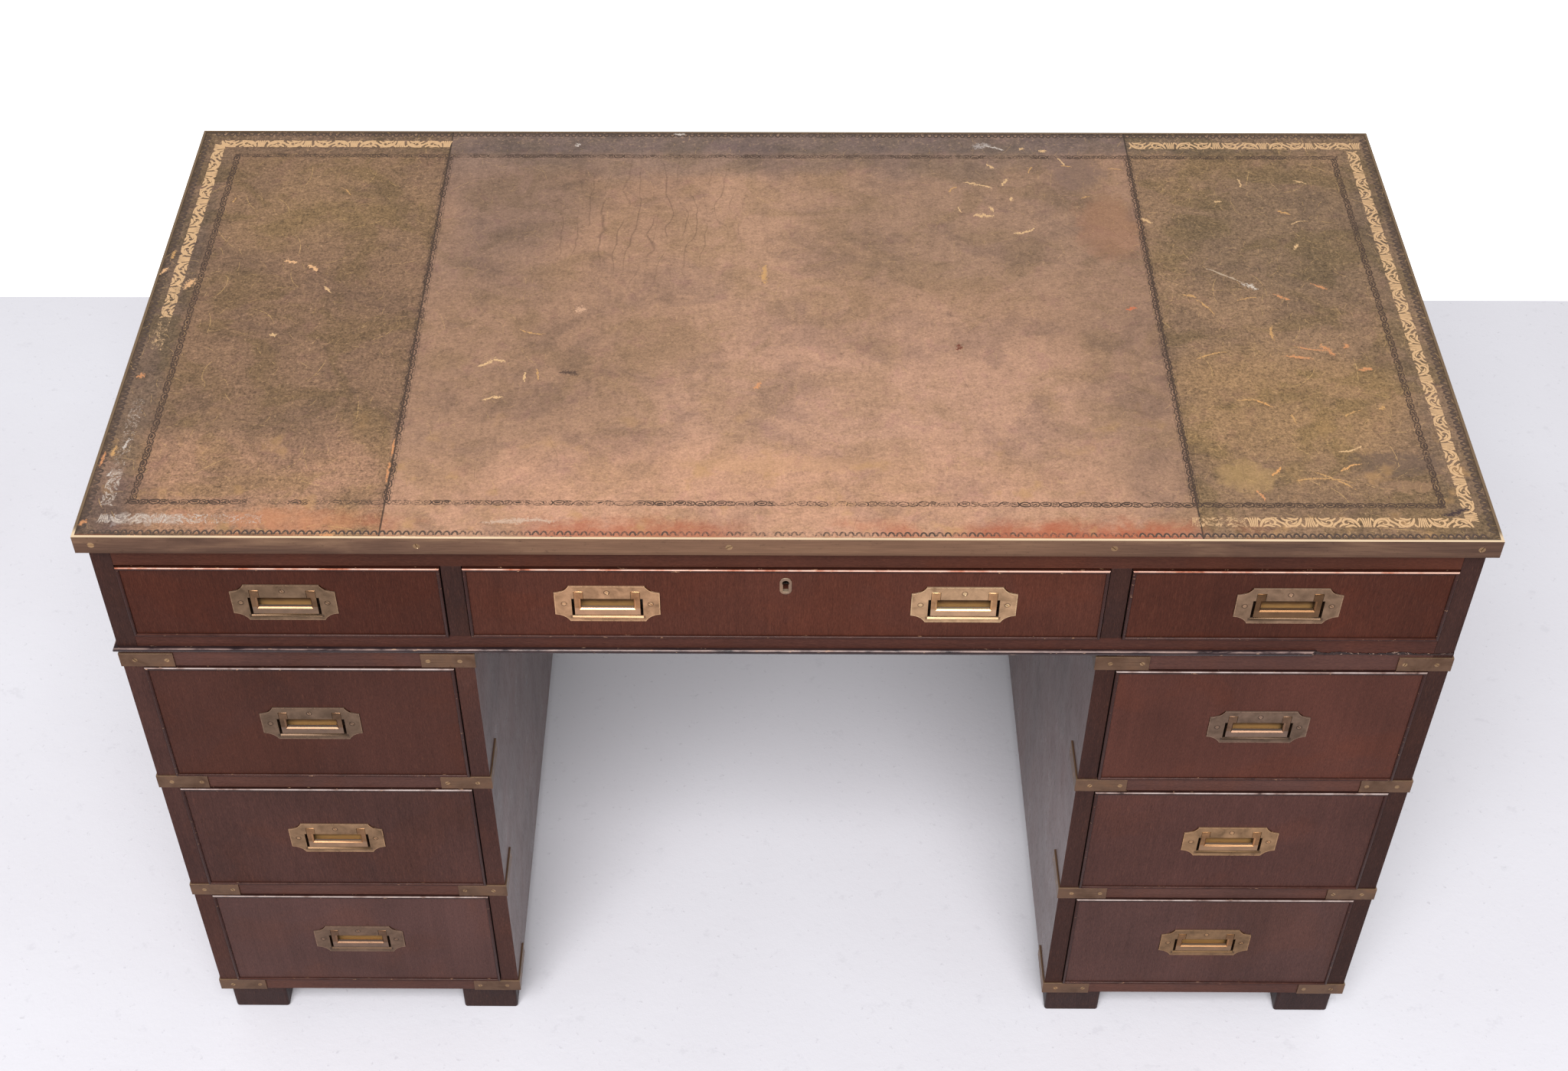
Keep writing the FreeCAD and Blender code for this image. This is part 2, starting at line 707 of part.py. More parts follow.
def build_drawer(opening):
    x0 = opening.x0 + drawer_side_gap
    x1 = opening.x1 - drawer_side_gap
    z0 = opening.z0 + drawer_bottom_gap
    z1 = opening.z1 - drawer_top_gap
    middle_x = (opening.x0 + opening.x1) / 2
    middle_z = (opening.z0 + opening.z1) / 2
    end_y = back_board_y - drawer_back_gap
    lining_top = z1 - lining_drop
    bottom_z = z0 + drawer_bottom_rise
    floor_z = bottom_z + drawer_bottom_thickness
    inner_x0 = x0 + lining_thickness
    inner_x1 = x1 - lining_thickness

    bottom = box(inner_x0 - groove_depth, inner_x1 + groove_depth, front_back_y - groove_depth, end_y,
                 bottom_z, floor_z)
    back = box(inner_x0, inner_x1, end_y - lining_thickness, end_y, floor_z, lining_top)
    sides = []
    sockets = []
    for side_x0, side_x1 in ((x0, inner_x0), (inner_x1, x1)):
        tails = dovetails(side_x0, side_x1, z0, lining_top)
        side = box(side_x0, side_x1, front_back_y, end_y, z0, lining_top).fuse(tails)
        sides.append(side.removeSplitter().cut(bottom))
        sockets += tails
    save(opening.name + "_box", sides[0], sides[1], back, bottom)

    front = box(x0, x1, face_y, front_back_y, z0, z1)
    face = box(x0 + cockbead_width, x1 - cockbead_width, face_y, face_y + cockbead_depth,
               z0 + cockbead_width, z1 - cockbead_width)
    rebate = box(x0, x1, face_y, face_y + cockbead_depth, z0, z1).cut(face)
    front = front.cut([rebate, bottom] + sockets)

    for offset in opening.pull_offsets:
        x = middle_x + offset
        screws = pull_screws(x, middle_z)
        holes = [plain for plain, slotted in screws]
        front = front.cut([pull_pocket(x, middle_z)] + holes)
        plate = pull_plate(x, middle_z).cut(holes)
        slotted_screws = [slotted for plain, slotted in screws]
        stem = fitting_name(opening, offset)
        save(stem + "_pull", plate, *slotted_screws, *pull_pins(x, middle_z))
        save(stem + "_bail", bail(x, middle_z))
    if len(opening.pull_offsets) > 1:
        front = build_lock(front, z1, middle_z)
    save(opening.name + "_front", front, *cockbeads(x0, x1, z0, z1))


def fitting_name(opening, offset):
    """Name of the pull at one place on a drawer: a drawer with two has a left and a right one."""
    stem = opening.name.replace("_drawer", "")
    if offset < 0:
        return stem + "_left"
    if offset > 0:
        return stem + "_right"
    return stem


def main():
    os.makedirs("parts", exist_ok=True)
    screws = ScrewSet()
    add_carcass_screws(screws)
    openings = drawer_openings()
    build_top(screws)
    build_frieze()
    build_bead_moulding()
    build_pedestal("left", -1, screws)
    build_pedestal("right", 1, screws)
    build_backs()
    build_runners(openings)
    build_straps(screws)
    build_feet()
    save("brass_screws", *screws.slotted)
    for opening in openings:
        build_drawer(opening)


main()
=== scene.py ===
import math
import random

import bmesh
import bpy
from mathutils import Matrix, Vector


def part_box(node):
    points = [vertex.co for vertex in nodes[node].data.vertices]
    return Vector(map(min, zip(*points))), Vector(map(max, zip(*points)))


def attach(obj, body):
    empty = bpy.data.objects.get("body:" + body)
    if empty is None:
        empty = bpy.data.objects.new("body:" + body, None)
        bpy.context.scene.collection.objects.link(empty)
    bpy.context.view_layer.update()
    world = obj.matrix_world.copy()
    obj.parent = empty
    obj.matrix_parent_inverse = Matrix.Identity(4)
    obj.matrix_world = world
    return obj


# The campaign desk at real size in metres: origin on the floor under its middle, +X to the sitter's
# right, +Y to the back, +Z up.

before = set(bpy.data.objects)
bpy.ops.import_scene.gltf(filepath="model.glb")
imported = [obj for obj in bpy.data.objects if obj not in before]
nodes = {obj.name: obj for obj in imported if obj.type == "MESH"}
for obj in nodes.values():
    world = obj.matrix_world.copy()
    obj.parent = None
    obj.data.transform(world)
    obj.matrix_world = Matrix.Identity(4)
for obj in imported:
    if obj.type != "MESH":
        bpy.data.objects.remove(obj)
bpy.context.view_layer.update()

# The photograph's camera, worked out from the desk's own edges
CAMERA_PLACE = Vector((-0.01462, -1.6109, 2.03497))
CAMERA_PITCH = math.radians(44.672)
CAMERA_ROLL = math.radians(-0.13)
CAMERA_YAW = math.radians(-0.462)
CAMERA_SENSOR = 36.0
CAMERA_LENS = 49.71
CAMERA_SHIFT = 0.0174

# The one lamp, and the point that it shines at
KEY_PLACE = Vector((-0.5, -4.7, 6.2))
KEY_TARGET = Vector((0, -0.1, 0.3))

# Floor, and where the photograph's floor meets its white wall
FLOOR_SIZE = 14.0
FLOOR_EDGE_Y = 0.954

# Leather: half its width and depth, its top, and its two seams
LEATHER_X = 0.6085
LEATHER_Y = 0.3025
LEATHER_TOP = 0.7377
LEFT_SEAM = -0.3475
RIGHT_SEAM = 0.355
MM = 0.001

# How high the thin pieces on the leather stand over it, and how deep they reach into it
PRESSED_LIFT = 0.00004
GILT_LIFT = 0.00006
LIGHTS_LIFT = 0.00008
SCUFF_LIFT = 0.0001
SINK = 0.00002

# Tooled rows on the leather, by the line that each runs along
CHAIN_X = 0.5668
CHAIN_Y = 0.2595
GILT_X = 0.5883
GILT_Y = 0.2805
ARCH_X = 0.6028
ARCH_Y = 0.297
CHAIN_UNIT = 0.0176
GILT_UNIT = 0.047
ARCH_PITCH = 0.0069

# Colour of each drawer front, and of each pull's plate, as the photograph shows it
FRONT_TONES = {
    "left_frieze": (70, 37, 28), "centre_frieze": (81, 45, 35), "right_frieze": (74, 39, 29),
    "left_top": (72, 43, 36), "right_top": (83, 49, 41), "left_middle": (74, 48, 43),
    "right_middle": (78, 50, 45), "left_bottom": (85, 59, 55), "right_bottom": (80, 55, 51),
}
PULL_TONES = {
    "left_frieze": (118, 98, 82), "centre_frieze_left": (172, 138, 112),
    "centre_frieze_right": (178, 148, 122), "right_frieze": (130, 108, 92), "left_top": (110, 92, 80),
    "right_top": (112, 94, 84), "left_middle": (140, 114, 92), "right_middle": (148, 120, 94),
    "left_bottom": (112, 92, 80), "right_bottom": (132, 106, 82),
}

# Each mahogany: the axis of its grain, light and dark tone, seed, roughness, gloss, and painted light from
# the left, by which it is paler at the left end and darker at the right
WOODS = {
    "upright": (2, (76, 46, 42), (56, 34, 32), 1, 0.32),
    "stiles": (2, (74, 48, 42), (54, 34, 31), 3, 0.34, 0.05, 0.31),
    "flanks": (2, (92, 50, 40), (62, 34, 27), 5, 0.3, 0.3),
    "unlit_edges": (2, (40, 25, 21), (24, 15, 13), 6, 0.6),
    "top_rail": (0, (86, 49, 38), (68, 39, 30), 2, 0.32),
    "under_rail": (0, (84, 50, 42), (66, 40, 34), 8, 0.32),
    "rails": (0, (95, 64, 57), (75, 50, 45), 9, 0.32),
    "feet": (2, (67, 50, 49), (50, 37, 36), 7, 0.34),
    "posts": (2, (66, 43, 38), (48, 31, 28), 3, 0.34),
}

# A pull's plate, from its middle: where its screws and the middles of its corner curves are
SCREW_U = 0.0382
SCREW_W = 0.0144
CORNER_U = 0.0469
CORNER_W = 0.0283


def scaled(tone, factors, plus=0):
    return tuple(c * k + plus for c, k in zip(tone, factors))


def brighter(tone, factors, tops, plus=0):
    """A tone made brighter, but not above these tops."""
    return tuple(min(c, top) for c, top in zip(scaled(tone, factors, plus), tops))


def linear(r, g, b):
    """A colour given as a screen shows it, 0 to 255, turned into the linear values that shaders use."""
    def channel(v):
        v /= 255
        return v / 12.92 if v <= 0.04045 else ((v + 0.055) / 1.055) ** 2.4
    return channel(r), channel(g), channel(b), 1.0


class Term:
    """A value inside a shader. Sums of terms become math nodes."""

    def __init__(self, graph, socket):
        self.graph = graph
        self.socket = socket

    def __add__(self, other):
        return self.graph.math("ADD", self, other)

    def __sub__(self, other):
        return self.graph.math("SUBTRACT", self, other)

    def __rsub__(self, other):
        return self.graph.math("SUBTRACT", other, self)

    def __mul__(self, other):
        return self.graph.math("MULTIPLY", self, other)

    def __abs__(self):
        return self.graph.math("ABSOLUTE", self)

    __radd__ = __add__
    __rmul__ = __mul__


class Graph:
    """A material, with its nodes written as sums over the place on the object. tone is its colour so far."""

    def __init__(self, name):
        self.material = bpy.data.materials.new(name)
        self.material.use_nodes = True
        self.tree = self.material.node_tree
        self.shader = self.tree.nodes["Principled BSDF"]
        self.place = self.term("TexCoord", {}, "Object")
        self.tone = None

    def feed(self, socket, value):
        if isinstance(value, Term):
            self.tree.links.new(value.socket, socket)
        else:
            socket.default_value = value

    def node(self, kind, inputs, **settings):
        """A shader node, with its inputs given by their names or numbers."""
        node = self.tree.nodes.new("ShaderNode" + kind)
        for name, value in settings.items():
            setattr(node, name, value)
        for key, value in inputs.items():
            self.feed(node.inputs[key], value)
        return node

    def term(self, kind, inputs, output=0, **settings):
        return Term(self, self.node(kind, inputs, **settings).outputs[output])

    def set(self, **values):
        """Gives the shader's own sockets a term each, or one value all over."""
        for name, value in values.items():
            self.feed(self.shader.inputs[name.replace("_", " ")], value)

    def finish(self, height, depth, strength, **values):
        """Gives the shader its colour, its bump and these values, and returns the material."""
        bump = {"Distance": depth, "Strength": strength, "Height": height}
        self.set(Base_Color=self.tone, Normal=self.term("Bump", bump), **values)
        return self.material

    def math(self, operation, first, second=0.0, clamp=False):
        return self.term("Math", {0: first, 1: second}, operation=operation, use_clamp=clamp)

    def split(self, vector):
        return [Term(self, out) for out in self.node("SeparateXYZ", {0: vector}).outputs]

    def join(self, x, y, z):
        return self.term("CombineXYZ", {0: x, 1: y, 2: z})

    def stretch(self, vector, scale, shift=(0, 0, 0)):
        return self.term("VectorMath", {0: vector, 1: scale, 2: shift}, operation="MULTIPLY_ADD")

    def shifted(self, vector, x, y):
        """A flat place moved aside, so that each noise has a pattern of its own."""
        return self.stretch(vector, (1, 1, 0), (x, y, 0))

    def facing(self):
        return self.split(self.term("NewGeometry", {}, "Normal"))

    def attribute(self, name, kind="Fac"):
        return self.term("Attribute", {}, kind, attribute_name=name)

    def noise(self, vector, scale, detail=3.0, rough=0.55, warp=0.0):
        inputs = {"Vector": vector, "Scale": scale, "Detail": detail, "Roughness": rough, "Distortion": warp}
        return self.term("TexNoise", inputs, "Fac")

    def streaks(self, scale, detail=3.0, rough=0.55, warp=0.0, shift=(0, 0, 0)):
        """Noise with a scale of its own along each axis."""
        return self.noise(self.stretch(self.place, scale, shift), 1.0, detail, rough, warp)

    def pores(self, grain, shift, across, lengthwise, detail, rough=0.55, warp=0.0):
        """Noise stretched along the axis, 0 to 2, that the wood's grain runs along."""
        scale = [across] * 3
        scale[grain] = lengthwise
        return self.streaks(scale, detail, rough, warp, shift)

    def step(self, value, low, high, top=1.0):
        """0 below low, top above high and smooth between them; low above high turns it round."""
        inputs = {"Value": value, "From Min": low, "From Max": high, "To Max": top}
        return self.term("MapRange", inputs, interpolation_type="SMOOTHSTEP")

    def ramp(self, value, *stops):
        node = self.node("ValToRGB", {0: value})
        points = node.color_ramp.elements
        while len(points) < len(stops):
            points.new(0.5)
        for point, (place, colour) in zip(points, stops):
            point.position = place
            point.color = linear(*colour)
        return Term(self, node.outputs["Color"])

    def mix(self, share, first, second, blend="MIX"):
        inputs = {0: share, 6: first, 7: second}
        return self.term("Mix", inputs, 2, data_type="RGBA", blend_type=blend)

    def paint(self, share, colour):
        """Lays a colour over the tone by this share."""
        self.tone = self.mix(share, self.tone, linear(*colour))

    def tint(self, share, factors):
        """Multiplies the tone's channels by these factors, by this share."""
        tinted = self.mix(1.0, self.tone, (*factors, 1), "MULTIPLY")
        self.tone = self.mix(share, self.tone, tinted)

    def shaded(self, colour, value):
        """The colour times a plain value."""
        return self.mix(1.0, colour, self.join(value, value, value), "MULTIPLY")

    def shade(self, value):
        self.tone = self.shaded(self.tone, value)


def scratches(g, flat, cell, length, width, share, shift):
    """Short bent scratches, one to a cell, each with its own direction; a share of the cells has one."""
    vector = g.shifted(flat, *shift)
    cells = g.node("TexVoronoi", {"Vector": vector, "Scale": 1 / cell}).outputs
    away = g.term("VectorMath", {0: vector, 1: Term(g, cells["Position"])}, operation="SUBTRACT")
    dx, dy, _ = g.split(away)
    pick, turn, bend = g.split(Term(g, cells["Color"]))
    angle = turn * math.pi
    cos = g.math("COSINE", angle)
    sin = g.math("SINE", angle)
    along = dx * cos + dy * sin
    across = dy * cos - dx * sin + along * along * ((bend - 0.5) * (1.6 / length))
    line = g.step(abs(across), width, width * 0.3)
    ends = g.step(abs(along), length * 0.5, length * 0.25)
    return line * ends * g.math("LESS_THAN", pick, share)


def leather_look(g):
    """The worn leather's tone, the same for all that lies on it, and its roughness, height and flecks."""
    flat = g.stretch(g.place, (1, 1, 0))
    x, y, _ = g.split(g.place)
    wide = x + (g.noise(flat, 7) - 0.5) * 0.16
    deep = y + (g.noise(g.shifted(flat, 3.1, 1.7), 8) - 0.5) * 0.14

    def oval(x, y, high, low, middle_x, middle_y, reach_x, reach_y, share):
        """Covers an oval by this share and fades out towards its rim."""
        across = (x - middle_x) * (1 / reach_x)
        down = (y - middle_y) * (1 / reach_y)
        return g.step(across * across + down * down, high, low, share)

    def area(middle_x, middle_y, reach_x, reach_y, share=0.85):
        """A soft-edged area of wear or old dye."""
        return oval(wide, deep, 1.7, 0.1, middle_x, middle_y, reach_x, reach_y, share)

    def panel(main, areas):
        g.tone = linear(*main)
        for share, colour in areas:
            g.paint(share, colour)
        return g.tone

    soiled = area(-0.26, -0.07, 0.12, 0.14)
    dark_back = area(0.2, 0.17, 0.17, 0.14)
    left = panel((145, 115, 90), [
        (area(-0.44, -0.03, 0.14, 0.13), (140, 110, 87)),
        (area(-0.46, 0.18, 0.1, 0.07), (153, 122, 92)),
        (area(-0.47, -0.27, 0.22, 0.1), (178, 137, 110)),
        (area(-0.585, -0.275, 0.045, 0.045, 0.75), (122, 96, 80)),
    ])
    right = panel((152, 122, 95), [
        (area(0.49, 0.12, 0.11, 0.12), (134, 110, 87)),
        (area(0.46, -0.14, 0.1, 0.1), (162, 129, 93)),
        (area(0.56, -0.25, 0.16, 0.06), (142, 114, 89)),
    ])
    centre = panel((170, 134, 109), [
        (area(-0.03, 0.12, 0.07, 0.17), (182, 144, 118)),
        (area(-0.28, 0.17, 0.08, 0.16), (140, 113, 97)),
        (soiled, (161, 127, 103)),
        (dark_back, (158, 127, 105)),
        (area(0.08, -0.13, 0.2, 0.13), (191, 150, 126)),
        (area(-0.05, -0.27, 0.36, 0.09), (202, 156, 128)),
        (area(0.33, -0.02, 0.06, 0.22), (156, 124, 102)),
        (area(0, 0.275, 0.45, 0.05), (146, 120, 105)),
    ])
    g.tone = g.mix(g.math("GREATER_THAN", x, LEFT_SEAM), left, centre)
    g.tone = g.mix(g.math("GREATER_THAN", x, RIGHT_SEAM), g.tone, right)

    # Mottling, from patches a hand wide down to the grain
    patches = g.noise(g.stretch(flat, (13, 15, 0)), 1, 4, 0.6, 0.8)
    blotches = g.noise(g.shifted(flat, 5.3, 8.1), 44, 5, 0.62, 0.5)
    slant = g.noise(g.join(x * 48 + y * 30, y * 150 - x * 60, 0), 1, 4, 0.62, 0.3)
    upright = g.noise(g.stretch(flat, (130, 30, 0), (2, 7, 0)), 1, 3, 0.6)
    mid = g.noise(g.shifted(flat, 2.2, 5.5), 120, 3, 0.7, 0.3)
    grain = g.noise(flat, 430, 2, 0.8)
    fleck = g.noise(g.shifted(flat, 9.7, 4.3), 240, 3, 0.7)
    outer_panel = g.math("GREATER_THAN", abs(x - (LEFT_SEAM + RIGHT_SEAM) / 2), (RIGHT_SEAM - LEFT_SEAM) / 2)
    value = (0.94 - outer_panel * 0.05 + (patches - 0.5) * 0.46 + (blotches - 0.5) * 0.46
             + (slant - 0.5) * 0.36 + (upright - 0.5) * 0.28 + (mid - 0.5) * (0.3 + outer_panel * 0.45)
             + (grain - 0.5) * (0.92 + outer_panel * 0.8) + (fleck - 0.5) * (0.55 + outer_panel * 0.45))
    g.tone = g.mix(1, g.tone, g.join(value, value * 0.965, value * 0.945), "MULTIPLY")
    g.tint(g.step(patches, 0.54, 0.4) * (0.4 + outer_panel * 0.35), (0.86, 0.9, 0.76))
    g.tint(g.step(blotches, 0.54, 0.68, 0.6), (0.8, 0.75, 0.84))
    smoke = g.noise(g.stretch(flat, (12, 14, 0), (8.2, 1.9, 0)), 1, 5, 0.62, 0.8)
    g.tint(g.step(smoke, 0.49, 0.64, 0.7), (0.74, 0.75, 0.8))
    g.paint(g.step(fleck, 0.62, 0.71) * (0.2 + outer_panel * 0.16), (208, 168, 130))
    g.paint(g.step(fleck - soiled * 0.04, 0.38, 0.3) * (0.2 + outer_panel * 0.14), (88, 69, 55))
    specks = g.step(mid - soiled * 0.06 - dark_back * 0.04, 0.4, 0.32) * (0.16 + outer_panel * 0.14)
    g.paint(specks, (104, 83, 66))

    # Wrinkles at the back, where the leather has shrunk
    bend = g.noise(g.stretch(flat, (15, 8, 0), (0.7, 3.3, 0)), 1, 3, 0.5)
    parts = g.step(g.noise(g.stretch(flat, (60, 12, 0), (2.7, 0.3, 0)), 1, 2), 0.38, 0.52)
    fold = abs(g.math("SINE", x * 215 + bend * 15))
    fan = abs(g.math("SINE", x * 150 + y * 130 + bend * 12))
    crease = g.math("MAXIMUM", g.step(fold, 0.26, 0) * area(-0.14, 0.155, 0.1, 0.11, 1),
                    g.step(fan, 0.18, 0) * area(0.31, 0.13, 0.05, 0.09, 0.6)) * parts
    # Painted shade darkens the creases
    g.paint(crease * 0.42, (92, 70, 58))

    ragged_x = x + (blotches - 0.5) * 0.05
    ragged_y = y + (mid - 0.5) * 0.03
    for *place, share, colour in STAINS:
        g.paint(oval(ragged_x, ragged_y, 1.4, 0.3, *(v * MM for v in place), share), colour)

    # The outer border is darker at the back and sides, and reddish where hands wore the front
    from_side = LEATHER_X - abs(x)
    from_back = LEATHER_Y - y
    from_front = LEATHER_Y + y
    rim = g.math("MINIMUM", from_side, from_back)
    back_left = g.step(x, -0.25, -0.38) * g.step(y, 0.12, 0.24, 0.3)
    dark_rim = g.step(rim + (blotches - 0.5) * 0.02, 0.046, 0.03)
    dark_rim = dark_rim * (0.95 - slant * 0.35 - g.step(x, 0.42, 0.52, 0.36) - back_left)
    lifted = g.step(from_front, 0.1, 0.03, 0.6) * g.step(from_side, 0.045, 0.12)
    g.tint(dark_rim - dark_rim * lifted, (0.6, 0.68, 0.82))
    any_rim = g.math("MINIMUM", rim, from_front)
    grime = g.step(any_rim + (fleck - 0.5) * 0.012, 0.0085, 0.0005, 0.75)
    front_zone = g.step(from_front, 0.05, 0.02) * g.step(abs(x), 0.47, 0.36)
    g.paint(grime * (1 - front_zone), (62, 49, 40))
    red_noise = g.noise(g.stretch(flat, (10, 16, 0), (1.3, 6.1, 0)), 1, 4)
    near_lip = g.step(from_front + (blotches - 0.5) * 0.05 + (mid - 0.5) * 0.02, 0.034, 0.006)
    worn_red = area(-0.135, -0.3, 0.1, 0.04, 0.75)
    worn_red = g.math("MAXIMUM", area(0.255, -0.3, 0.11, 0.05, 1), worn_red)
    worn_red = g.math("MAXIMUM", worn_red, g.step(red_noise, 0.52, 0.66, 0.6))
    g.paint(near_lip * worn_red * front_zone * 0.8, (176, 92, 62))
    orange = g.step(from_front, 0.048, 0.022) * area(-0.43, -0.285, 0.1, 0.05, 1)
    g.paint(orange * g.step(blotches, 0.4, 0.6) * 0.42, (198, 132, 92))
    frayed = g.step(from_front + (fleck - 0.5) * 0.004, 0.0034, 0.0014)
    frayed = frayed * g.step(red_noise + (mid - 0.5) * 0.5, 0.44, 0.56)
    g.paint(frayed * 0.55, (158, 98, 64))
    marks = g.step(fleck + (mid - 0.5) * 0.3, 0.57, 0.66) * g.step(from_back, 0.03, 0.018)
    g.paint(marks * 0.4, (186, 152, 122))
    ochre = g.step(g.noise(g.shifted(flat, 0.4, 2.9), 30), 0.58, 0.72, 0.45)
    g.paint(ochre * g.step(from_front, 0.24, 0.05), (192, 148, 98))

    # Scratches, most of them in the right panel
    outer = g.step(abs(x - 0.003), 0.3, 0.4)
    fine = scratches(g, flat, 0.022, 0.016, 0.00028, 0.55, (0.013, 0.005))
    long_ones = scratches(g, flat, 0.06, 0.042, 0.00042, 0.6, (0.031, 0.047))
    stray = scratches(g, flat, 0.011, 0.007, 0.0003, 0.4, (0.5, 0.21))
    hair = scratches(g, flat, 0.085, 0.07, 0.00026, 0.6, (0.9, 0.33))
    dense = scratches(g, flat, 0.014, 0.013, 0.00028, 0.5, (0.7, 0.9)) * g.math("GREATER_THAN", x, RIGHT_SEAM)
    pale = fine * (0.32 + outer * 0.3) + long_ones * (0.22 + outer * 0.42) + stray * 0.32 + dense * 0.45
    pale = g.math("MULTIPLY", pale, g.step(fleck, 0.4, 0.52), True)
    g.paint(pale, (220, 178, 118))
    g.paint(hair * 0.4, (72, 56, 48))

    # Dark seams
    seam = g.math("MINIMUM", abs(x - LEFT_SEAM), abs(x - RIGHT_SEAM))
    g.paint(g.step(seam, 0.0011, 0.0004, 0.8), (48, 38, 33))
    beside = g.step(seam, 0.016, 0.005) * g.step(blotches, 0.36, 0.62)
    g.tint(beside * 0.35, (0.72, 0.72, 0.76))

    pits = g.term("TexVoronoi", {"Vector": flat, "Scale": 900}, "Distance")
    depth = pits * 0.5 + grain * 0.9 + blotches * 0.5 + upright * 0.5 - pale * 0.5 - crease * 1.2
    rough = 0.6 - (patches - 0.5) * 0.35 + (fleck - 0.5) * 0.25
    return rough, depth, fleck


def leather_material():
    g = Graph("tooled_leather")
    rough, depth, _ = leather_look(g)
    return g.finish(depth, 0.00035, 0.7, Roughness=rough, IOR=1.42)


def tooling_material(name, colour, wear, metal, soft):
    """Lines pressed or gilded into the leather. Where they are worn off, the leather shows."""
    g = Graph(name)
    rough, depth, fleck = leather_look(g)
    rub = (g.noise(g.shifted(g.place, 7.7, 2.1), 130, 3, 0.65) * 0.45
           + g.noise(g.shifted(g.place, 1.7, 8.1), 640, 2, 0.7) * 0.55)
    left = g.step(g.attribute("keep") + (rub - 0.5) * wear, 0.46 - soft, 0.46 + soft)
    g.tone = g.mix(left, g.tone, g.shaded(linear(*colour), 0.8 + fleck * 0.4))
    return g.finish(depth, 0.0002, 0.6, Roughness=rough - left * (0.18 * metal), Metallic=left * metal)


def scuff_material():
    """Scuffs and stains: each fades out towards its rim in a ragged way."""
    g = Graph("leather_scuffs")
    rough, depth, _ = leather_look(g)
    tear = g.noise(g.shifted(g.place, 4.7, 6.1), 620, 3, 0.7)
    rag = g.noise(g.shifted(g.place, 2.3, 9.1), 260, 4, 0.75)
    there = g.step(g.attribute("weight") * 0.9 + (tear - 0.5) * 2.8 + (rag - 0.5) * 2.4, 0.26, 0.62)
    faded = g.shaded(g.attribute("tint", "Color"), 0.82 + depth * 0.2)
    g.tone = g.mix(there * g.attribute("strength"), g.tone, faded)
    return g.finish(depth, 0.0003, 0.7, Roughness=rough)


def wood_material(name, grain, light, dark, seed, rough=0.3, gloss=0.05, faded=0):
    """Polished mahogany, its pores along the axis grain. faded is how much painted light from the left makes
    it paler at the left end of the desk than in the middle, and darker at the right end."""
    g = Graph(name)
    shift = (seed * 1.37, seed * 0.71, seed * 0.93)
    band = g.pores(grain, shift, 46, 2.2, 3, 0.6, 0.3)
    streak = g.pores(grain, shift, 260, 7, 3, 0.6)
    ribbon = g.pores(grain, shift, 20, 9, 2, 0.5)
    pore = g.pores(grain, shift, 1250, 90, 2, 0.6)
    cloud = g.noise(g.place, 6 + seed * 0.1, 3, 0.5, 0.4)
    fine = g.pores(grain, shift, 1900, 260, 2, 0.7)
    share = (band - 0.5) * 0.4 + (streak - 0.5) * 0.5 + (ribbon - 0.5) * 0.25 + (cloud - 0.5) * 1.2 + 0.5
    g.tone = g.ramp(share, (0.15, dark), (0.85, light))
    glow = g.noise(g.stretch(g.place, (1, 1, 1), (seed, 2.9, 0)), 11, 3, 0.55, 0.6)
    g.tint(g.step(glow, 0.46, 0.64, 0.6), (1.12, 0.99, 0.86))
    g.shade(0.36 + fine * 1.12)
    # Painted light from the left: paler at the desk's left end, darker at its right end
    if faded:
        g.shade(1 - g.split(g.place)[0] * (faded / 0.6))
    lines = g.step(pore, 0.56, 0.68)
    g.paint(lines * 0.22, (34, 18, 15))
    g.paint(g.step(pore, 0.42, 0.32, 0.08), (150, 96, 72))
    smear = g.noise(g.stretch(g.place, (1, 1, 1), (2.2 + seed, 0, 0)), 24, 4, 0.6)
    return g.finish(fine * 0.25 + lines * -0.4 + streak * 0.3, 0.0001, 0.4,
                    Roughness=rough + (smear - 0.5) * 0.18 + lines * 0.15, Specular_IOR_Level=gloss)


def bead_material(name, low, high, crown_amount, shade):
    """A cockbead: dark, with a painted highlight along its rounded crown, where its wood is also worn paler,
    and a few chips.
    """
    g = Graph(name)
    run = g.streaks((55, 55, 55), 3, 0.6)
    chip = g.streaks((120, 500, 500), 3, 0.7, shift=(3, 1, 2))
    fine = g.streaks((900, 900, 900), 2)
    g.tone = g.ramp(run, (0.3, tuple(c * 0.8 for c in shade)), (0.7, shade))
    _, _, up = g.facing()
    # The crown's bright colour is a painted highlight from the light above, and partly wood worn paler
    crown = g.math("MAXIMUM", g.step(up, 0.28, 0.5) - g.step(up, 0.92, 0.99), 0) * g.step(run, 0.24, 0.38)
    g.tone = g.mix(crown * crown_amount, g.tone, g.ramp(run, (0.36, low), (0.56, high)))
    bare = g.step(chip, 0.66, 0.7)
    g.paint(bare * (0.3 + crown_amount * 0.6), (206, 160, 124))
    return g.finish(chip + bare * -0.6, 0.0002, 0.4,
                    Roughness=0.32 - crown * 0.1 + bare * 0.3 + (fine - 0.5) * 0.1, Specular_IOR_Level=0.15)


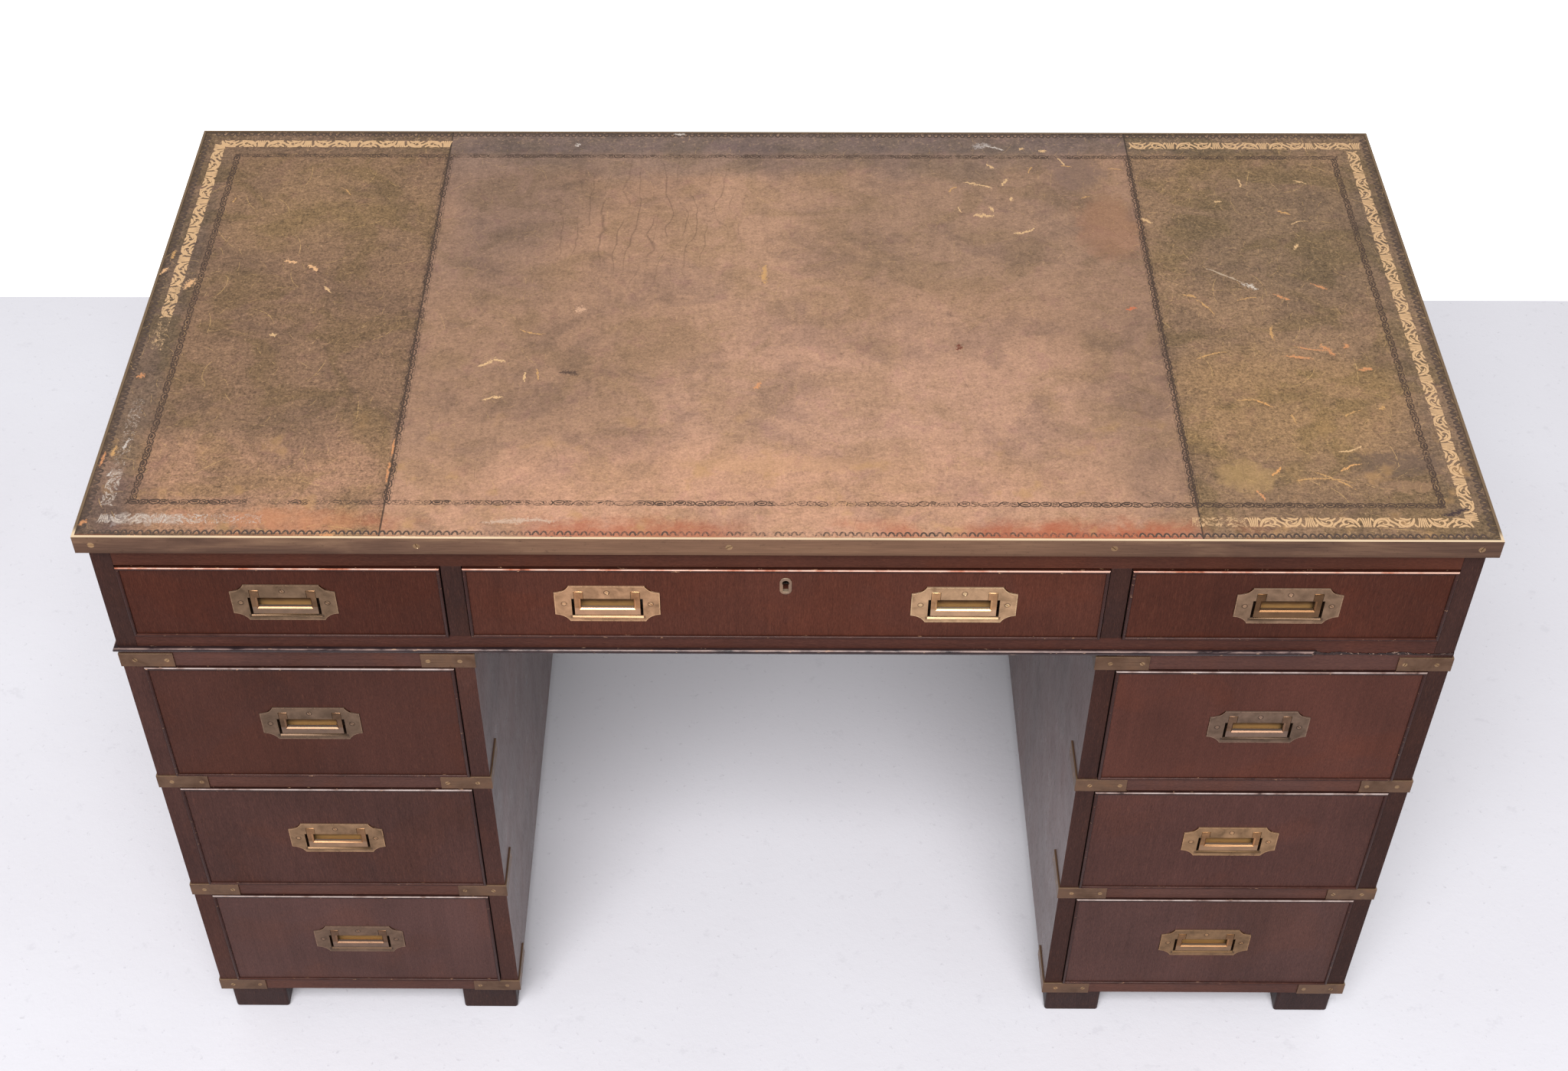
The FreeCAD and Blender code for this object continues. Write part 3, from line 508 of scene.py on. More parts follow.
def dark_bead_material():
    """The bead moulding: nearly black, with a thin painted highlight along its crown, and nicked."""
    g = Graph("frieze_bead")
    run = g.streaks((30, 120, 120), 4, 0.6)
    chip = g.streaks((90, 400, 400), 3, 0.7, shift=(5, 1, 2))
    bare = g.step(chip, 0.66, 0.7)
    g.tone = g.ramp(run, (0.3, (34, 24, 27)), (0.7, (58, 40, 38)))
    _, _, up = g.facing()
    # A painted highlight along the crown, where it faces the light from above
    crown = g.math("MAXIMUM", g.step(up, 0.52, 0.68) - g.step(up, 0.86, 0.96), 0) * g.step(run, 0.34, 0.5)
    g.tone = g.mix(crown * 0.66, g.tone, g.ramp(run, (0.4, (128, 106, 104)), (0.6, (182, 154, 144))))
    g.paint(bare * 0.7, (188, 150, 122))
    return g.finish(chip, 0.0004, 0.6, Roughness=0.26 + bare * 0.3, Specular_IOR_Level=0.3)


def splinter_material():
    """What is left of the moulding at its broken end: black glue and wood with pale flecks."""
    g = Graph("bead_remains")
    run = g.streaks((160, 300, 300), 4, 0.7)
    chip = g.streaks((260, 700, 700), 3, 0.7, shift=(2, 7, 3))
    g.tone = g.ramp(run, (0.35, (24, 17, 19)), (0.62, (60, 42, 38)))
    g.paint(g.step(chip, 0.6, 0.66), (196, 164, 144))
    return g.finish(run + chip, 0.0004, 0.8, Roughness=0.45 + (run - 0.5) * 0.3, Specular_IOR_Level=0.2)


def bare_wood_material(name, grain, light, dark, seed=0):
    """Unpolished wood inside the carcass and the drawers."""
    g = Graph(name)
    shift = (seed, seed * 0.7, 0)
    band = g.pores(grain, shift, 70, 3, 3, 0.6, 0.4)
    pore = g.pores(grain, shift, 900, 40, 2)
    stain = g.noise(g.place, 9)
    share = (band - 0.5) * 1.1 + (pore - 0.5) * 0.8 + (stain - 0.5) * 0.7 + 0.5
    g.tone = g.ramp(share, (0.1, dark), (0.9, light))
    return g.finish(pore + band * 0.5, 0.0002, 0.6, Roughness=0.62 + (pore - 0.5) * 0.3)


def brass_material(name, tone, polish_and_highlight, rough, edge_from=0.55, spots=0.5):
    """Old brass: tarnished on its faces, with a painted highlight and some wear where it faces up."""
    g = Graph(name)
    grime = g.noise(g.stretch(g.place, (1, 1, 1), (1.1, 0.4, 2.3)), 38, 4, 0.6, 0.5)
    spot = g.noise(g.place, 210, 4, 0.7)
    line = g.noise(g.place, 600, 2, 0.6)
    g.tone = g.ramp(grime, (0.3, scaled(tone, (0.8, 0.76, 0.72))), (0.52, tone),
                    (0.72, scaled(tone, (1.12, 1.09, 1.04))))
    stain = g.step(spot, 0.62, 0.74, spots)
    g.paint(stain, scaled(tone, (0.55, 0.46, 0.4)))
    _, _, up = g.facing()
    # Painted highlight, with some wear, where the brass faces up
    wear_and_highlight = g.step(up, edge_from - 0.25, edge_from + 0.25) * (0.75 + spot * 0.4)
    g.paint(wear_and_highlight, polish_and_highlight)
    return g.finish(line * 0.5 + spot * 0.6, 0.00005, 0.5,
                    Metallic=1 - wear_and_highlight * 0.45,
                    Roughness=rough + (grime - 0.5) * 0.22 + (line - 0.5) * 0.12 + stain * 0.2)


def band_material():
    """The edge band: brown, a little lighter in the middle, with a painted highlight and some wear where it
    faces up, brightest along the front's top edge.
    """
    g = Graph("band_brass")
    x, y, z = g.split(g.place)
    grime = g.streaks((8, 30, 50), 4, 0.6, 0.5)
    spot = g.noise(g.stretch(g.place, (1, 1, 1.6)), 150, 4, 0.7)
    line = g.streaks((26, 26, 1100), 3, 0.65)
    middle = g.step(abs(x) + (grime - 0.5) * 0.3, 0.36, 0.14)
    g.tone = g.ramp(grime, (0.34, (94, 71, 59)), (0.5, (112, 85, 69)), (0.66, (138, 108, 85)))
    g.paint(middle * 0.6, (142, 108, 84))
    g.shade(0.5 + line * 1)
    g.paint(g.step(spot, 0.58, 0.74, 0.4), (72, 54, 44))
    g.paint(g.step(z, 0.7235, 0.7195, 0.4), (78, 58, 46))
    _, _, up = g.facing()
    # Painted highlight, with some wear, on the faces that face up, brightest along the front
    front = g.step(y, -0.29, -0.3)
    wear_and_highlight = g.step(up, 0.4, 0.8) * (0.8 + grime * 0.3)
    edge = g.mix(front, linear(152, 126, 98), linear(255, 226, 188))
    g.tone = g.mix(wear_and_highlight, g.tone, edge)
    return g.finish(line * 0.5 + spot * 0.6, 0.00005, 0.5,
                    Metallic=1 - wear_and_highlight * (0.5 + front * 0.25),
                    Roughness=0.4 + (grime - 0.5) * 0.25 + (line - 0.5) * 0.14)


def pull_material(name, tone, plate, worn, cup):
    """A pull's casting, with its cup, or its bail. plate is the casting's box. Its face has this tone, with a
    painted highlight and some wear where it faces up, and painted highlights on its bevels. The cup's back
    wall has painted light, golden low down, with painted shade above and at its ends."""
    g = Graph(name)
    low, high = plate
    x, y, z = g.split(g.place)
    u = abs(x - (low[0] + high[0]) / 2)
    w = z - (low[2] + high[2]) / 2
    grime = g.noise(g.place, 70, 4, 0.6, 0.4)
    spot = g.noise(g.place, 420, 4, 0.7)
    scratch = g.streaks((220, 900, 1800), 2, 0.6)
    tone = scaled(tone, (1, 0.98, 0.94))
    g.tone = g.ramp(grime, (0.3, scaled(tone, (0.8, 0.78, 0.74))), (0.7, scaled(tone, (1.14, 1.13, 1.1))))
    if not cup:
        g.paint(g.step(w, -0.0045, -0.0062, 0.32), worn)
    g.paint(g.step(spot, 0.6, 0.74, 0.5), scaled(tone, (0.6, 0.52, 0.44)))
    if cup:
        side = u - SCREW_U
        above = w - SCREW_W
        away = g.math("MINIMUM", g.math("SQRT", side * side + w * w), g.math("SQRT", u * u + above * above))
        ring = g.step(away, 0.0031, 0.0025) * g.step(away, 0.0017, 0.0022)
        g.paint(ring * 0.65, scaled(tone, (0.4, 0.36, 0.34)))
        # A painted glint on each screw head
        screw = g.step(away, 0.0021, 0.0014, 0.55)
        g.paint(screw, brighter(tone, (1.45, 1.42, 1.38), (236, 214, 186)))
    # Painted light inside the cup: its back wall golden low down, with painted shade above and at its ends;
    # the bail's faces inside the cup get painted shade
    inside = g.step(y, low[1] + 0.0012, low[1] + 0.0026)
    depth = g.step(w + (grime - 0.5) * 0.004, -0.0035, -0.0125)
    wall = g.ramp(depth, (0, (92, 68, 52)), (0.45, (150, 113, 76)), (1, (212, 166, 104)))
    wall = g.mix(g.step(u, 0.0225, 0.0275), wall, linear(46, 32, 25))
    g.tone = g.mix(inside, g.tone, wall if cup else linear(62, 44, 33))
    _, out, up = g.facing()
    outside = 1 - inside if cup else 1
    slope = abs(out)
    # Painted highlights on the bevelled edges
    edge = g.step(slope, 0.96, 0.82) * g.step(slope, 0.2, 0.45) * outside
    g.paint(edge * 0.55, brighter(tone, (1.5, 1.48, 1.45), (240, 220, 190)))
    if cup:
        tall = abs(w)
        by_side = u - CORNER_U
        by_edge = tall - CORNER_W
        corner = g.step(g.math("SQRT", by_side * by_side + by_edge * by_edge), 0.0158, 0.0153)
        # A painted highlight along the plate's rim, broken by the spots
        outline = g.math("MAXIMUM", g.step(tall, 0.0209, 0.0214), g.step(u, 0.0454, 0.0459))
        outline = g.math("MAXIMUM", outline, corner) * g.step(spot, 0.36, 0.52, 0.5)
        g.paint(outline, brighter(tone, (1.42, 1.4, 1.36), (236, 214, 186)))
    # Painted highlight, with some wear, where the casting faces up
    wear_and_highlight = g.step(up, 0.76, 0.94, 0.6 if cup else 0.32) * outside
    g.paint(wear_and_highlight, worn)
    if cup:
        # Painted shade darkens the lower lip below the opening
        lip_shade = g.step(w, -0.0146, -0.0152) * g.step(w, -0.0188, -0.018) * g.step(u, 0.0338, 0.0328) * outside
        g.paint(lip_shade * 0.85, scaled(tone, (0.66, 0.64, 0.62)))
    return g.finish(scratch * 0.4 + spot * 0.6, 0.00005, 0.5,
                    Metallic=1 - inside * 0.62 - wear_and_highlight * (0.85 if cup else 0.75),
                    Roughness=(0.32 + (grime - 0.5) * 0.2 + (scratch - 0.5) * 0.16 + inside * 0.1
                               + wear_and_highlight * 0.2))


def steel_material():
    g = Graph("lock_steel")
    rust = g.noise(g.place, 120, 4, 0.65)
    line = g.streaks((300, 300, 2400), 2)
    g.tone = g.ramp(rust, (0.35, (150, 148, 146)), (0.6, (132, 128, 124)), (0.72, (104, 74, 54)))
    return g.finish(line + rust, 0.00006, 0.5, Metallic=1, Roughness=0.36 + (line - 0.5) * 0.25)


def floor_material():
    g = Graph("floor_grey")
    cloud = g.noise(g.place, 2.2, 3)
    speck = g.noise(g.place, 120, 3, 0.7)
    pit = g.noise(g.place, 34, 4, 0.7)
    g.tone = g.ramp(cloud, (0.3, (236, 234, 241)), (0.7, (241, 240, 247)))
    g.paint(g.step(speck, 0.62, 0.74, 0.4), (196, 193, 201))
    g.paint(g.step(pit, 0.4, 0.3, 0.22), (208, 206, 214))
    return g.finish(speck * 0.4 + pit * 0.6, 0.0012, 0.5, Roughness=0.62 + (pit - 0.5) * 0.2)


def white_material():
    """The far floor, which the photograph shows as pure white to the eye and in gloss."""
    g = Graph("floor_white")
    eye, gloss = (g.term("LightPath", {}, f"Is {kind} Ray") for kind in ("Camera", "Glossy"))
    g.set(Base_Color=linear(238, 238, 240), Emission_Color=(1, 1, 1, 1),
          Emission_Strength=g.math("MINIMUM", eye + gloss, 1))
    return g.material


def add(name, data):
    thing = bpy.data.objects.new(name, data)
    bpy.context.scene.collection.objects.link(thing)
    return thing


def make_camera():
    data = bpy.data.cameras.new("camera")
    data.sensor_width = CAMERA_SENSOR
    data.lens = CAMERA_LENS
    data.shift_x = CAMERA_SHIFT
    data.clip_start = 0.05
    data.clip_end = 60
    camera = add("camera", data)
    forward = Vector((math.sin(CAMERA_YAW) * math.cos(CAMERA_PITCH),
                      math.cos(CAMERA_YAW) * math.cos(CAMERA_PITCH), -math.sin(CAMERA_PITCH)))
    level = Vector((math.cos(CAMERA_YAW), -math.sin(CAMERA_YAW), 0))
    upright = level.cross(forward)
    right = level * math.cos(CAMERA_ROLL) + upright * math.sin(CAMERA_ROLL)
    up = upright * math.cos(CAMERA_ROLL) - level * math.sin(CAMERA_ROLL)
    turn = Matrix((right, up, -forward)).transposed().to_4x4()
    camera.matrix_world = Matrix.Translation(CAMERA_PLACE) @ turn
    bpy.context.scene.camera = camera


def loft(base, count, sides):
    """Faces of a closed strip whose points come as rings of as many points as it has sides."""
    faces = []
    last = base + sides * (count - 1)
    for a in range(base, last, sides):
        for j in range(sides):
            k = (j + 1) % sides
            faces.append((a + j, a + sides + j, a + sides + k, a + k))
    faces.append(tuple(range(base, base + sides)))
    faces.append(tuple(range(last + sides - 1, last - 1, -1)))
    return faces


def closed_piece(name, points, faces, material):
    """A piece of closed strips, with its faces turned outward."""
    mesh = bpy.data.meshes.new(name)
    mesh.from_pydata(points, [], faces)
    whole = bmesh.new()
    whole.from_mesh(mesh)
    bmesh.ops.recalc_face_normals(whole, faces=whole.faces)
    whole.to_mesh(mesh)
    whole.free()
    mesh.materials.append(material)
    return add(name, mesh)


def note(piece, name, kind, field, values):
    """Keeps a value for each point of a piece, for its material to read."""
    piece.data.attributes.new(name, kind, "POINT").data.foreach_set(field, values)


def plane(name, x0, x1, y0, y1, z):
    mesh = bpy.data.meshes.new(name)
    mesh.from_pydata([(x0, y0, z), (x1, y0, z), (x1, y1, z), (x0, y1, z)], [], [(0, 1, 2, 3)])
    return add(name, mesh)


def make_stage():
    half = FLOOR_SIZE / 2
    floor = plane("floor", -half, half, -half, FLOOR_EDGE_Y, 0)
    floor.data.materials.append(floor_material())
    far = plane("floor_white", -half, half, FLOOR_EDGE_Y, half, 0)
    far.data.materials.append(white_material())


def make_lights():
    world = bpy.data.worlds.new("studio")
    bpy.context.scene.world = world
    world.use_nodes = True
    background = world.node_tree.nodes["Background"]
    background.inputs["Color"].default_value = (1, 1, 1, 1)
    background.inputs["Strength"].default_value = 0.37
    data = bpy.data.lights.new("key", "AREA")
    data.shape = "RECTANGLE"
    data.size = 5.6
    data.size_y = 3.8
    data.energy = 600
    light = add("key", data)
    light.location = KEY_PLACE
    light.rotation_euler = (KEY_TARGET - KEY_PLACE).to_track_quat("-Z", "Y").to_euler()


class Row:
    """One straight row of tooling, with its places given along it and inward from it."""
    ALONG = {"front": (1, 0), "back": (-1, 0), "left": (0, -1), "right": (0, 1)}

    def __init__(self, side, inset_x, inset_y):
        self.along = Vector(self.ALONG[side])
        self.inward = Vector((-self.along.y, self.along.x))
        self.origin = self.inward * -(inset_y if self.along.x else inset_x)

    def place(self, u, v):
        return self.origin + self.along * u + self.inward * v


class Ribbons:
    """Thin closed strips lying on the leather, gathered into one mesh."""

    def __init__(self, lift):
        self.top = LEATHER_TOP + lift
        self.number = 0
        self.points = []
        self.faces = []
        self.keep = []

    def stroke(self, path, widths, keep):
        """Lays a strip along the path, at a height of its own, so that crossings don't flicker."""
        count = len(path)
        self.faces += loft(len(self.points), count, 4)
        self.number += 1
        top = self.top + self.number % 16 * 0.000002
        bottom = LEATHER_TOP - SINK
        for i, (here, width) in enumerate(zip(path, widths)):
            ahead = path[min(i + 1, count - 1)] - path[max(i - 1, 0)]
            ahead.normalize()
            side = Vector((-ahead.y, ahead.x)) * (width / 2)
            for corner, z in ((here + side, top), (here - side, top),
                              (here - side, bottom), (here + side, bottom)):
                self.points.append((corner.x, corner.y, z))
                self.keep.append(keep)

    def make(self, name, material):
        piece = closed_piece(name, self.points, self.faces, material)
        note(piece, "keep", "FLOAT", "value", self.keep)
        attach(piece, "desk")


def arch_rows(dice):
    """The outermost row: small rounded arches with a dot between each two, and pale painted highlights in
    them.
    """
    rows = Ribbons(PRESSED_LIFT)
    lights = Ribbons(LIGHTS_LIFT)
    arch_widths = [w * MM for w in (1.2, 1.8, 1.9, 1.8, 1.9, 1.8, 1.9, 1.8, 1.2)]

    def dash(strip, row, place, reach, low, high, width, keep):
        path = [row.place(place - reach, low), row.place(place, high), row.place(place + reach, low)]
        strip.stroke(path, [0.0005, width, 0.0005], keep)

    for side, half in (("front", ARCH_X), ("back", ARCH_X), ("left", ARCH_Y), ("right", ARCH_Y)):
        row = Row(side, ARCH_X, ARCH_Y)
        count = int(2 * (half - 0.003) / ARCH_PITCH)
        for i in range(count):
            middle = (i + 0.5 - count / 2) * ARCH_PITCH
            jump = dice.uniform(-0.0002, 0.0002)
            keep = 0.76 + 0.1 * math.sin(middle * 23 + half * 40) + dice.uniform(-0.12, 0.12)
            if side == "front" and -0.28 < middle < 0.3:
                keep -= 0.22
            path = []
            for point in range(9):
                u = (point / 8 - 0.5) * 2
                rise = 1 - abs(u) ** 2.4
                path.append(row.place(middle + u * ARCH_PITCH * 0.4, -0.0024 + rise * 0.0046 + jump))
            rows.stroke(path, arch_widths, keep)
            dash(rows, row, middle + ARCH_PITCH / 2, 0.0008, -0.001, -0.0012, 0.001, keep - 0.12)
            if side in ("front", "back"):
                dash(lights, row, middle, 0.0013, -0.0004, 0.0006 + jump, 0.0009, keep - 0.25)
    return rows, lights


def chain_unit(rows, row, start, flip, keep, dice):
    """One link of the inner border: an almond with a bent dash in it, and two leaves between links."""
    def shaken(v):
        return v * MM + dice.uniform(-0.22, 0.22) * MM

    def line(points, *widths):
        press = dice.uniform(0.85, 1.35)
        path = [row.place(start + shaken(u), shaken(v) * flip * 0.92) for u, v in points]
        rows.stroke(path, [w * press * MM for w in widths], keep + dice.uniform(-0.14, 0.1))

    line([(-1.6, 3.2), (0, 0.2), (1.6, -1.8), (4.4, -2.9), (7.4, -2.3), (9.4, -0.4)],
         0.9, 1.3, 1.1, 1, 1, 0.7)
    line([(-1.6, -3), (0, 0), (1.4, 2.1), (4.2, 3.1), (7.6, 2.9), (9.8, 1.6)], 0.9, 1.3, 1.2, 1.3, 1.1, 0.7)
    line([(2.2, 0.9), (4, 0.3), (6, 0.4), (7.8, 1.1)], 0.7, 1.8, 1.9, 0.8)
    line([(9, 2.9), (9.8, 1.2), (9.2, -1), (8.4, -2.8)], 0.8, 1.1, 1.1, 0.8)
    line([(9.9, -1.6), (11.8, -2.8), (14, -2.9), (16, -2.2)], 0.8, 1.1, 1.1, 0.9)
    line([(10.2, 2.4), (12.2, 3.1), (14.4, 2.6), (16, 1.6)], 0.8, 1.1, 1.1, 0.9)
    line([(10.6, 0.6), (12, 1.3), (13.2, 0.4), (14.4, -0.9), (15.6, -0.2)], 0.7, 1.2, 1.3, 1.2, 0.7)
    line([(11, -1.1), (12.2, -0.6)], 0.9, 0.8)
    line([(14, 1.3), (15, 0.8)], 0.9, 0.8)


def chain_rows(dice):
    """The inner border and the two lines of it that run along the seams."""
    rows = Ribbons(PRESSED_LIFT)

    def run(row, start, end, *worn):
        count = round((end - start) / CHAIN_UNIT)
        pitch = (end - start) / count
        for i in range(count):
            keep = 0.86 + dice.uniform(-0.2, 0.1)
            for low, high, loss in worn:
                if low < start + i * pitch < high:
                    keep -= loss
            chain_unit(rows, row, start + i * pitch, 1 if i % 2 else -1, keep, dice)

    edge_x = CHAIN_X + 0.0035
    run(Row("front", CHAIN_X, CHAIN_Y), -edge_x, edge_x, (-0.49, -0.35, 0.34), (-0.35, 0.2, 0.22))
    run(Row("back", CHAIN_X, CHAIN_Y), -edge_x, edge_x, (-0.6, 0.6, 0.2))
    for side in ("left", "right"):
        run(Row(side, CHAIN_X, CHAIN_Y), -CHAIN_Y, CHAIN_Y)
    for seam, aside, loss in ((LEFT_SEAM, 0.0008, 0.14), (RIGHT_SEAM, -0.0008, 0.0)):
        row = Row("right", seam + aside, 0)
        run(row, -CHAIN_Y, CHAIN_Y, (-0.3, 0.3, loss))
        for v in (-0.0042, 0.004):
            rows.stroke([row.place(0.0005 - CHAIN_Y, v), row.place(CHAIN_Y - 0.0005, v)], [0.0005] * 2, 0.44)
    return rows


def gilt_unit(rows, row, start, flip, keep, full=1):
    """One repeat of the gilt band: a fan, a scroll with leaves, and the scroll turned over."""
    scale = GILT_UNIT / 47

    def curve(points, widths):
        path = [row.place(start + u * scale, v * flip * scale) for u, v in points]
        rows.stroke(path, [(0.28 + w * 0.86) * scale * full for w in widths], keep)

    for lean in (-2, -1, 0, 1, 2):
        u = lean * 1.75
        curve([(u * 0.8, -5.6), (u * 0.85, -2), (u, 2), (u * 1.25, 4.6), (u * 1.45, 5.7)],
              [0.8, 1, 1.1, 1.2, 0.6])
    for turn in (1, -1):
        def half(points, *widths):
            curve([(23.5 + turn * (u - 23.5), v * turn) for u, v in points], widths)

        half([(5.2, -5.4), (6.6, -1.5), (8.6, 1.9), (11.4, 4.1), (14.6, 4.6), (17.4, 3.2), (18.9, 0.7),
              (18.2, -1.6), (16.2, -2.6), (14.3, -1.8), (13.9, -0.2)],
             1.2, 2.5, 2.9, 2.7, 2.4, 2.2, 2, 1.8, 1.5, 1.2, 0.8)
        half([(7.8, -5.5), (10.4, -3.6), (12.6, -3.6), (14.8, -4.6), (17.8, -5.5)], 0.8, 2.2, 2.5, 2, 0.7)
        half([(9.4, -1.6), (10.8, 0.4), (12.6, 1.6), (14.8, 1.9)], 0.7, 1.8, 1.7, 0.7)
        half([(17.2, -3.2), (19.6, -2.6), (21.4, -4), (22.6, -5.6)], 0.8, 2, 1.8, 0.7)
        half([(19.2, 4.9), (20.4, 2.8), (21.9, 1.2), (23.5, 0)], 0.9, 2.3, 2.4, 1.8)
        half([(15.6, 5.6), (18.2, 5.5), (20.8, 5.6)], 0.7, 1.1, 0.7)
        half([(4, 5.6), (5.6, 3.6), (6.2, 1.2)], 0.9, 2, 0.7)


def gilt_rows(dice):
    """The gilt band, complete at the back left, back right and right, and worn away elsewhere."""
    rows = Ribbons(GILT_LIFT)

    def run(side, start, end, strength, full=1.0):
        row = Row(side, GILT_X, GILT_Y)
        count = max(1, round((end - start) / GILT_UNIT))
        pitch = (end - start) / count
        for i in range(count):
            share = (i + 0.5) / count
            keep = strength(share) + dice.uniform(-0.05, 0.05)
            gilt_unit(rows, row, start + i * pitch, 1 if i % 2 else -1, keep, full)

    edge_x = GILT_X + 0.0059
    edge_y = GILT_Y + 0.0059
    run("right", 0.0125 - edge_y, edge_y - 0.012, lambda share: 0.96)
    run("back", -edge_x, -0.353, lambda share: 0.92)
    run("back", 0.352, edge_x, lambda share: 0.84, 1.32)
    run("left", 0.012 - edge_y, 0.06, lambda share: 0.8 - max(share - 0.5, 0) * 0.85, 1.22)
    run("front", 0.352, edge_x, lambda share: min(0.36 + share * 1.1, 0.96))
    return rows


def worn_gilt_rows(dice):
    """What is left of the gilt band at the front left, turned silvery."""
    rows = Ribbons(GILT_LIFT)
    for side, start, keeps in (("left", 0.128, (0.24, 0.18, 0.46)), ("front", -0.587, (0.5, 0.46, 0.3))):
        row = Row(side, GILT_X, GILT_Y)
        for i, keep in enumerate(keeps):
            gilt_unit(rows, row, start + i * GILT_UNIT, 1 if i % 2 else -1, keep + dice.uniform(-0.02, 0.02))
    return rows


# Soft stains on the leather: place and reach in millimetres, strength, colour
STAINS = [
    (404, -222, 26, 22, 0.45, (186, 150, 98)), (545, -236, 22, 7, 0.4, (178, 138, 106)),
    (535, -206, 46, 16, 0.6, (106, 86, 74)), (-430, -281, 55, 14, 0.34, (198, 132, 94)),
    (-552, -281, 40, 6, 0.5, (186, 166, 152)), (0, -210, 100, 12, 0.25, (204, 158, 112)),
    (298, 232, 26, 34, 0.5, (122, 98, 90)), (322, 140, 34, 55, 0.38, (166, 116, 88)),
]

